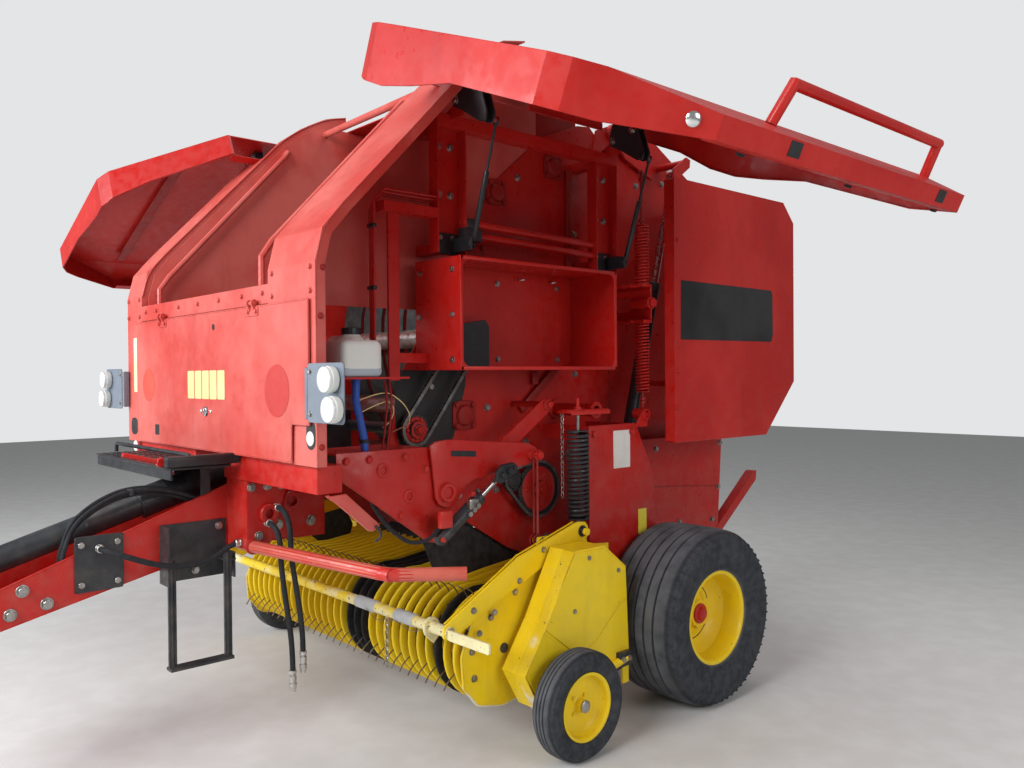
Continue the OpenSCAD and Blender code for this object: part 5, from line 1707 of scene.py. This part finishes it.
fit(lamp_plates(), "lamp_plates", GREY, "chassis", "lamps")
fit(lamp_parts([(0, 0), (0, 34), (-5, 42), (-15, 44.6), (-28, 44.6), (-31, 42), (-30, 0)], -1853.5),
    "lamp_drums", WHITE_PLASTIC, "chassis")
fit(lamp_parts([(0, 0), (0, 41), (-8, 43.5), (-14, 42), (-19, 30), (-21, 12), (-21.4, 0)], -1881.5),
    "lamp_lenses", GLASS, "chassis")
fit(both_sides(bolts([(985, -1854, z) for z in (1420, 1565)], FORWARD, 9)), "lamp_bolts", STEEL, "chassis")


# Walls, legs and labels


def leg_plates():
    """The face of each leg plate, with its bolts, the cross tube's end and the wheel's spindle."""
    outline = [(-400, 1308), (-72, 1308), (-60, 1296), (62, 1062), (111, 562), (111, 348), (20, 348),
               (-58, 520), (-398, 660)]
    leg = plate(outline, "X", 919.6, 928.8, 2, 2)
    nuts = side_bolts(929, ((-370, 1270), (-100, 1270), (-350, 720), (40, 640), (70, 420), (0, 420)), 16)
    tube_end = turned([(865, 18), (865, 27.6), (933, 28), (936, 26), (936, 18)], (0, 10, 1350), "X", 28)
    spindle = turned([(928, 0), (928, 46), (934, 48), (950, 48), (954, 45), (954, 0)], (0, 70, 410), "X", 32)
    return both_sides(join([leg, nuts, tube_end, spindle]))


fit(leg_plates(), "leg_plate_faces", RED, "chassis")
label((-232, -111, 1100, 1280), "X", 929, 929.9, "leg_label_white", LABEL_WHITE, "chassis", 5)
label((-53, 10, 765, 889), "X", 929, 929.9, "leg_label_yellow", LABEL_YELLOW, "chassis", 5)

wall_bolts = [(y, 1010 + (y + 1150) * 0.02) for y in range(-1150, -650, 110)]
wall_bolts += [(-1080, 1500), (-1000, 1790), (-980, 1980), (-560, 2480), (-430, 2640), (-180, 1550),
               (-180, 1850), (-180, 2250), (-240, 1150), (-520, 1230), (-760, 1400)]
fit(both_sides(side_bolts(628, wall_bolts, 15)), "side_wall_bolts", STEEL, "chassis")


def wall_rib():
    """Folded stiffeners on the outside of the chamber wall."""
    ribs = []
    for (y0, z0), (y1, z1) in (((-470, 1500), (-470, 1562)), ((-230, 2030), (-230, 2560)),
                               ((-560, 1380), (-260, 1640))):
        along = Vector((0, y1 - y0, z1 - z0)).normalized()
        dy, dz = -along.z * 20, along.y * 20
        outline = [(y0 + dy, z0 + dz), (y1 + dy, z1 + dz), (y1 - dy, z1 - dz), (y0 - dy, z0 - dz)]
        ribs.append(plate(outline, "X", 627.5, 652, 5, 2))
    return both_sides(join(ribs))


fit(wall_rib(), "side_wall_ribs", RED_SHADED, "chassis")


# Front panel and posts


PANEL_Y = -1831


def faded_disc(x, z, radius, name, tone, fade):
    """A round spot of fresher paint where a mark has been."""
    material = paint(name + "_paint", tone, fade, fade=(0.4, 0.6), rough=0.5)
    disc = turned([(0, 0), (0, radius), (-0.6, radius - 0.4), (-0.8, 0)], (x, PANEL_Y, z), "Y", 48)
    return fit(disc, name, material, "front_panel")


faded_disc(-643, 1513, 80, "faded_mark_right", (0.66, 0.10, 0.045), (0.62, 0.075, 0.05))
faded_disc(692, 1496, 98, "faded_mark_left", (0.52, 0.035, 0.03), (0.56, 0.045, 0.036))
for number in range(5):
    low = -154 + 79 * number
    label((low, low + 72, 1455, 1577), "Y", PANEL_Y - 1, PANEL_Y, "panel_label_%d" % (number + 1),
          LABEL_CREAM, "front_panel")
# Painted shade: thin black plates stand for the panel's square and round holes.
label((-560, -510, 1277, 1326), "Y", PANEL_Y - 1.2, PANEL_Y, "panel_square_hole_shade", FLAT_BLACK_AND_HOLE_SHADE,
      "front_panel", 4)
label((114, 140, 1745, 1771), "Y", PANEL_Y - 1.2, PANEL_Y, "panel_round_hole_shade", FLAT_BLACK_AND_HOLE_SHADE, "front_panel", 12)


def panel_lock():
    """The panel's round lock with its slot, between two rivets."""
    body = turned([(0, 0), (0, 20), (-3, 22), (-7, 20), (-9, 12), (-9, 0)], (39, PANEL_Y, 1403), "Y", 28)
    slot = block((36, PANEL_Y - 11, 1392), (42, PANEL_Y - 8, 1414), 1)
    rivets = [turned([(0, 0), (0, 8), (-3, 7), (-4.5, 3), (-4.6, 0)], (x, PANEL_Y, 1403), "Y", 16)
              for x in (-12, 90)]
    return join([body, slot] + rivets)


def panel_hinges():
    """The panel's two hinge leaves with their screws."""
    leaves = []
    for x in (-450, 500):
        leaves.append(plate(corner_box(96, 34, 6, 3, (x, 1800)), "Y", PANEL_Y - 3.5, PANEL_Y + 0.5, 0.8))
        leaves.append(bolts([(x - 34, PANEL_Y - 3.5, 1800), (x + 34, PANEL_Y - 3.5, 1800)], FORWARD, 9))
    return join(leaves)


fit(panel_lock(), "panel_lock", CHROME, "front_panel")
# The panel's folded edges, seen as soft rounds
panel_rim = [(-797, 1242), (-797, 1819), (929, 1819), (929, 1378), (803, 1378), (797, 1242), (-797, 1242)]
fit(tube([(x, PANEL_Y + 1, z) for x, z in panel_rim], 3.2, 12, 2), "panel_edges", RED_FADED_AND_SHEEN, "front_panel")
fit(panel_hinges(), "panel_hinge_leaves", RED_FADED_AND_SHEEN, "front_panel")

label((-880, -800, 1476, 1749), "Y", -1821, -1819.5, "post_label_right", LABEL_CREAM, "chassis")
# Painted shade: thin black plates stand for the slots in the posts.
label((-925, -835, 1262, 1346), "Y", -1821.2, -1819.5, "post_slot_shade_right", FLAT_BLACK_AND_HOLE_SHADE, "chassis", 30)
label((893, 957, 1290, 1395), "Y", -1821.2, -1819.5, "post_slot_shade_left", FLAT_BLACK_AND_HOLE_SHADE, "chassis", 30)
fit(turned([(0, 0), (0, 25), (-3, 26), (-5, 23), (-6, 0)], (925, -1821, 1330), "Y", 28),
    "post_reflector_left", WHITE_PLASTIC, "chassis")
fit(turned([(0, 0), (0, 27), (-3, 28), (-6, 24), (-7, 0)], (-862, -1820, 1205), "Y", 28), "reflector_right",
    WHITE_PLASTIC, "chassis")


def post_edges():
    """Rolled outer edges and the inner flange's round along the bent front skins."""
    line = [(-1820, 1232), (-1820, 1950), (-1790, 2070), (-1710, 2165), (-1060, 2850), (-930, 2945),
            (-780, 3025), (-652, 3055)]
    return join([tube([(x, y + 2.5, z - 1) for y, z in part], 3.6, 60, 2)
                 for x, part in ((962.5, line[:5]), (-962.5, line[:5]), (608.5, line[1:]),
                                 (-757.5, line[1:]))])


fit(post_edges(), "post_rolled_edges", RED_FADED_AND_SHEEN, "chassis")
rail_bolts = [(x, -1820, 1868) for x in (-700, -560, -280, -60, 160, 380, 560)]
rail_bolts += [(x, -1820, z) for x in (640, 930, -790, -940) for z in (1850, 1935)]
fit(bolts(rail_bolts, FORWARD, 10), "front_rail_bolts", RED_FADED_AND_SHEEN, "chassis")

# Round headed bolts down the flanks of the posts
fit(both_sides(side_bolts(965, ((-1800, 1300), (-1800, 1520), (-1800, 1760), (-1790, 1930)), 10)),
    "post_side_bolts", RED_SHADED, "chassis")


# Platform, step and lever


def platform_deck():
    """The deck with the round lip along its open edges."""
    deck = plate(corner_box(902, 262, 20, 4, (-150, -1960)), "Z", 1197.6, 1200.4, 0.6)
    lip = tube([(-596, -1840, 1194), (-600, -2080, 1194), (300, -2080, 1194), (300, -1840, 1194)], 6, 30, 2)
    return join([deck, lip])


def deck_treads():
    """Raised drops of the deck's tread pattern."""
    only()
    bpy.ops.mesh.primitive_cylinder_add(vertices=8, radius=0.011, depth=0.0024, location=(0, 0, 0.0008))
    drop = bpy.context.object
    drop.scale = (1.0, 0.38, 1)
    settle(drop)
    bevel(drop, 0.0006, 1, 30)
    moves = []
    for row in range(7):
        for column in range(24):
            turn = Matrix.Rotation(math.radians(45 if (row + column) % 2 else -45), 4, "Z")
            moves.append(Matrix.Translation(point(-580 + column * 37, -2060 + row * 34, 1200.4)) @ turn)
    return repeat(drop, moves)


def platform_rail():
    """The low rail along the deck's front, and the block at its left end."""
    return join([tube([(-590, -2000, 1205), (-590, -2000, 1243), (290, -2000, 1243), (290, -2000, 1205)], 9,
                      24, 2), block((280, -2100, 1201), (320, -1806, 1243), 8, 3)])


def red_lever():
    """The small shut-off lever and its pivot."""
    return join([tube([(250, -2240, 1258), (250, -2098, 1219), (250, -2054, 1201)], 9, 40, 2),
                 turned([(238, 0), (238, 17), (241, 19), (259, 19), (262, 17), (262, 0)],
                        (0, -2098, 1219), "X", 20)])


fit(platform_deck(), "platform_deck", BLACK, "chassis")
fit(deck_treads(), "platform_treads", BLACK, "chassis", smooth=20)
fit(platform_rail(), "platform_rail", BLACK, "chassis")
fit(red_lever(), "shut_off_lever", RED, "chassis")


def step_details():
    """The step's ribs and the bent tube that carries them."""
    rungs = [tube([(232 + k * 9, -2072, 413), (232 + k * 9, -1824, 413)], 2.2, resolution=1)
             for k in range(5)]
    frame_tube = tube([(250, -2061, 832), (250, -2061, 404), (250, -1835, 404), (250, -1835, 832)], 9, 30, 2)
    return join(rungs + [frame_tube])


fit(step_details(), "step_frame", BLACK, "chassis")
fit(side_bolts(157, ((-2365, 920), (-2235, 920), (-2365, 770), (-2235, 770), (-2050, 930), (-1830, 930),
                     (-1930, 760)), 14), "platform_plate_bolts", STEEL, "chassis")
fit(plate(corner_box(175, 212, 14, 3, (-2299, 846)), "X", 156, 160, 1), "front_step_plate", BLACK, "chassis")


# Drawbar


def drawbar_bolts():
    """Bolts of the beams and of the cheek plates."""
    beam = side_bolts(150, ((-1400, 1100), (-1400, 900), (-1480, 1100), (-1560, 900), (-2560, 780),
                            (-2600, 700), (-2480, 720)), 20)
    return both_sides(join([beam, side_bolts(340, ((-1770, 1100), (-1700, 1100), (-1640, 1100), (-1740, 900)),
                                             16)]))


def cheek_rings():
    """The raised rings round the holes of the cheek plates and of the beams."""
    ring = turned([(340, 20), (340, 38), (344, 40), (360, 40), (364, 37), (364, 20)],
                  (0, -1700, 987), "X", 32)
    small = turned([(150, 24), (150, 42), (154, 44), (166, 44), (170, 41), (170, 24)],
                   (0, -1500, 1000), "X", 32)
    return both_sides(join([ring, small]))


def drawbar_edges():
    """Welded edge beads along the two side plates."""
    top = [(-1340, 1148), (-1730, 1117), (-2070, 995), (-2630, 795), (-2926, 688)]
    low = [(-1340, 832), (-1730, 837), (-2070, 782), (-2630, 649), (-2926, 572)]
    return both_sides(join([tube([(x, y, z) for y, z in line], 2.6, 60, 1) for x in (149, 141)
                            for line in (top, low)]))


def hitch():
    """The hitch eye with its shank and nuts."""
    eye = turned([(-21, 25.4), (-23, 30), (-22, 58), (-18, 61), (18, 61), (22, 58), (23, 30), (21, 25.4)],
                 (0, -3000, 615), "Z", 48)
    shank = block((-46, -2960, 594), (46, -2868, 636), 6)
    nuts = bolts([(x, y, 640) for x in (-28, 28) for y in (-2915, -2880)], "Z", 20)
    return join([eye, shank, nuts])


fit(drawbar_bolts(), "drawbar_bolts", STEEL, "chassis")
fit(cheek_rings(), "drawbar_rings", RED, "chassis")
fit(drawbar_edges(), "drawbar_edge_beads", RED, "chassis")
fit(hitch(), "hitch_eye", STEEL, "chassis")
fit(tube([(352, -1767.6, 860), (1060, -1663, 860), (1150, -1649, 860), (1206, -1581, 860),
          (1320, -1440, 860)], 24.8, 150, 4), "guard_tube_skin", GUARD_RED, "chassis")

# The bent brace that runs back and down from the front corner, with its dark hook
fit(both_sides(join([plate([(-1764, 1120), (-1690, 1124), (-1560, 1007), (-1548, 990), (-1580, 974),
                            (-1716, 1090)], "X", 934, 942, 2, 2),
                     plate([(-1764, 1120), (-1722, 1092), (-1584, 974), (-1578, 980), (-1716, 1098),
                            (-1758, 1126)], "X", 914, 936, 1.5)])), "corner_braces", RED_FADED_AND_SHEEN, "chassis")
fit(both_sides(tube([(946, -1570, 996), (950, -1560, 984), (950, -1548, 962), (948, -1556, 944),
                     (944, -1572, 938)], 5, 60, 2)), "brace_hooks", BLACK, "chassis")


# Drive shaft


def shaft_guard():
    """Ribbed cones and tube of the drive shaft's guard."""
    slope = Vector((0, 1, 0.304)).normalized()
    stretch = slope.y
    centre = (0, -2070, 1040)

    def ring(y, radius):
        return ((y + 2070) / stretch, radius)

    cone = [ring(-1645, 58)]
    for k in range(9):
        y = -1660 - k * 46
        cone += [ring(y, 62.6), ring(y - 16, 62.6), ring(y - 22, 57), ring(y - 38, 57)]
    cone += [ring(-2094, 62.6), ring(-2102, 58), ring(-2102, 40), ring(-1645, 40)]
    front = [ring(-2692, 44), ring(-2692, 58), ring(-2700, 60.6), ring(-2716, 60.6), ring(-2722, 55),
             ring(-2744, 55), ring(-2750, 60.6), ring(-2790, 60.6), ring(-2800, 57), ring(-2800, 30),
             ring(-2692, 30)]
    tube_piece = [ring(-2098, 30), ring(-2098, 48.6), ring(-2300, 48.6), ring(-2304, 51), ring(-2318, 51),
                  ring(-2322, 48.6), ring(-2694, 48.6), ring(-2694, 30)]
    return join([turned(profile, centre, slope, 40) for profile in (cone, front, tube_piece)])


fit(shaft_guard(), "drive_shaft_guard", BLACK, "chassis")

fit(bolts([(x, y, 1390) for x in (-110, 110) for y in (-1570, -1210)], "Z", 18), "gearbox_bolts",
    STEEL, "chassis")


# Clamped hydraulic lines along the drawbar


def drawbar_lines():
    """Hydraulic lines that hump over the drawbar beside the shaft guard."""
    lines = []
    for x, rise in zip((79, 96, 113, 130), (0, 14, -8, 9)):
        hump = [(y, z + rise) for y, z in ((-2385, 985), (-2300, 1052), (-2207, 1091), (-2119, 1098),
                                           (-2005, 1080), (-1902, 1037))]
        route = [(-2380, 770), (-2430, 850)] + hump + [(-1800, 1000), (-1640, 975)]
        lines.append(tube([(x, y, z) for y, z in route], 8, 60, 2))
    return join(lines)


def line_clamps():
    """The two clamps that hold the hydraulic lines together."""
    return join([block((68, y - 9, z - 13), (140, y + 9, z + 13), 4)
                 for y, z in ((-2170, 1098), (-1700, 983))])


fit(drawbar_lines(), "drawbar_lines", HOSE, "chassis")
fit(line_clamps(), "drawbar_line_clamps", BLACK, "chassis")


# Jack


def jack_details():
    """The jack's collar, cap, crank handle and foot."""
    place = (193, -2800, 0)
    collar = turned([(560, 27), (560, 34), (564, 36), (700, 36), (704, 34), (704, 27)], place, "Z", 32)
    top = turned([(800, 0), (800, 24), (806, 26), (812, 24), (814, 0)], place, "Z", 28)
    handle = tube([(193, -2800, 806), (193, -2800, 822), (193, -2880, 826), (193, -2900, 850)], 7, 16, 2)
    foot = turned([(12, 0), (12, 30), (16, 32), (34, 29), (40, 27), (40, 0)], place, "Z", 28)
    return join([collar, top, handle, foot])


fit(jack_details(), "jack_details", BLACK, "jack")
fit(join([turned([(1896, 13), (1896, 20), (1899, 21), (1906, 16), (1908, 13)], (x, y, 0), "Z", 24)
          for x, y in ((-718, -1745), (474, -1780))]), "hand_rail_collars", RED_FADED_AND_SHEEN, "chassis")


# Tailgate


for side_name in ("left", "right"):
    band = plate([(132, 1716), (949, 1720), (965, 1760), (962, 1980), (950, 2003), (137, 2008)], "X",
                 1050, 1051, 0.2)
    fit(band if side_name == "left" else mirrored(band), "shield_band_" + side_name, FLAT_BLACK_AND_HOLE_SHADE, "tailgate")


def shield_flange():
    """The flange along the shield's front edge, with its screws."""
    piece = plate([(990, 1212), (1048, 1212), (1048, 2503), (990, 2503)], "Y", 90, 94, 1)
    screws = bolts([(1016, 90, z) for z in (1300, 1620, 1960, 2300, 2440)], FORWARD, 7)
    return both_sides(join([piece, screws, side_bolts(1050, ((110, 1380), (110, 1560), (110, 2200)), 10)]))


def shield_rim():
    """The rolled edge round the shield."""
    line = [(88, 1213), (893, 1213), (1183, 1502), (1183, 2398), (1079, 2502), (88, 2502)]
    return both_sides(tube([(1047, y, z) for y, z in line], 4, 14, 2))


fit(shield_rim(), "shield_rims", RED, "tailgate")
fit(shield_flange(), "shield_flanges", RED, "tailgate")


def gate_bolts():
    """Bolts on the tailgate's upper and lower side plates."""
    upper = side_bolts(628, ((200, 760), (600, 760), (200, 1150), (700, 1150), (300, 2560), (520, 2600),
                             (1000, 2300), (1180, 1900), (1150, 1350)), 15)
    lower = side_bolts(756, ((250, 760), (500, 740), (800, 720), (860, 900), (880, 1150), (300, 1150)), 14)
    return both_sides(join([upper, lower]))


def gate_seam():
    """Bend line and folded edge of the lower side plate."""
    fold = tube([(757, 160, 960), (757, 560, 930), (757, 858, 905)], 3, 40, 1)
    edge = tube([(755, 152, 702), (755, 600, 692), (755, 820, 642), (755, 858, 682)], 3.4, 12, 1)
    return both_sides(join([fold, edge]))


def gate_hinges():
    """The boss and pin of the tailgate's hinge."""
    boss = turned([(639, 25.5), (639, 46), (643, 49), (660, 49), (664, 46), (664, 25.5)],
                  (0, 100, 2800), "X", 32)
    pin = turned([(660, 0), (660, 22), (684, 22), (687, 19), (687, 0)], (0, 100, 2800), "X", 28)
    return both_sides(join([boss, pin]))


fit(gate_bolts(), "tailgate_bolts", STEEL, "tailgate")
fit(gate_seam(), "tailgate_seams", RED_SHADED, "tailgate")
fit(gate_hinges(), "tailgate_hinge_bosses", RED, "tailgate")


# Tailgate cylinders


# The cylinder's eyes, in millimetres from the datum line
GATE_FOOT = Vector((800, 0, 1150))
GATE_AIM = (Vector((800, 400, 2600)) - GATE_FOOT).normalized()


def gate_cylinder():
    """The cylinder's tube with its end rings and its two ports."""
    body = turned([(22, 0), (22, 30), (28, 33.5), (60, 33.5), (62, 32.6), (848, 32.6), (850, 35), (894, 35),
                   (900, 32), (900, 20.6), (880, 20.4)], GATE_FOOT, GATE_AIM, 36)
    ports = [turned([(28, 0), (28, 12), (44, 12), (46, 10), (46, 0)], GATE_FOOT + GATE_AIM * reach,
                    Vector((0, -1, 0.28)), 16) for reach in (70, 860)]
    return both_sides(join([body] + ports))


fit(gate_cylinder(), "gate_cylinder_tubes", BLACK, "gate_barrels")
fit(bolts([(x, y, 2976) for x in (-770, -400, 0, 400, 770) for y in (-615, -175)], "Z", 11), "roof_bolts",
    RED, "chassis")


def lay_floor():
    """The pale floor the machine stands on, kept out of the part."""
    bpy.ops.object.select_all(action="DESELECT")
    bpy.ops.mesh.primitive_plane_add(size=40, location=(0, 0, 0))
    floor = bpy.context.object
    floor.name = "floor"
    finish = Finish("pale_floor", rough=0.75)
    tone = finish.mix(finish.ramp(finish.noise(6, 5), 0.35, 0.7), (0.70, 0.69, 0.67), (0.75, 0.745, 0.73))
    finish.colour(tone)
    finish.bump(finish.noise(90, 4), 0.15, 0.002)
    floor.data.materials.append(finish.material)


lay_floor()
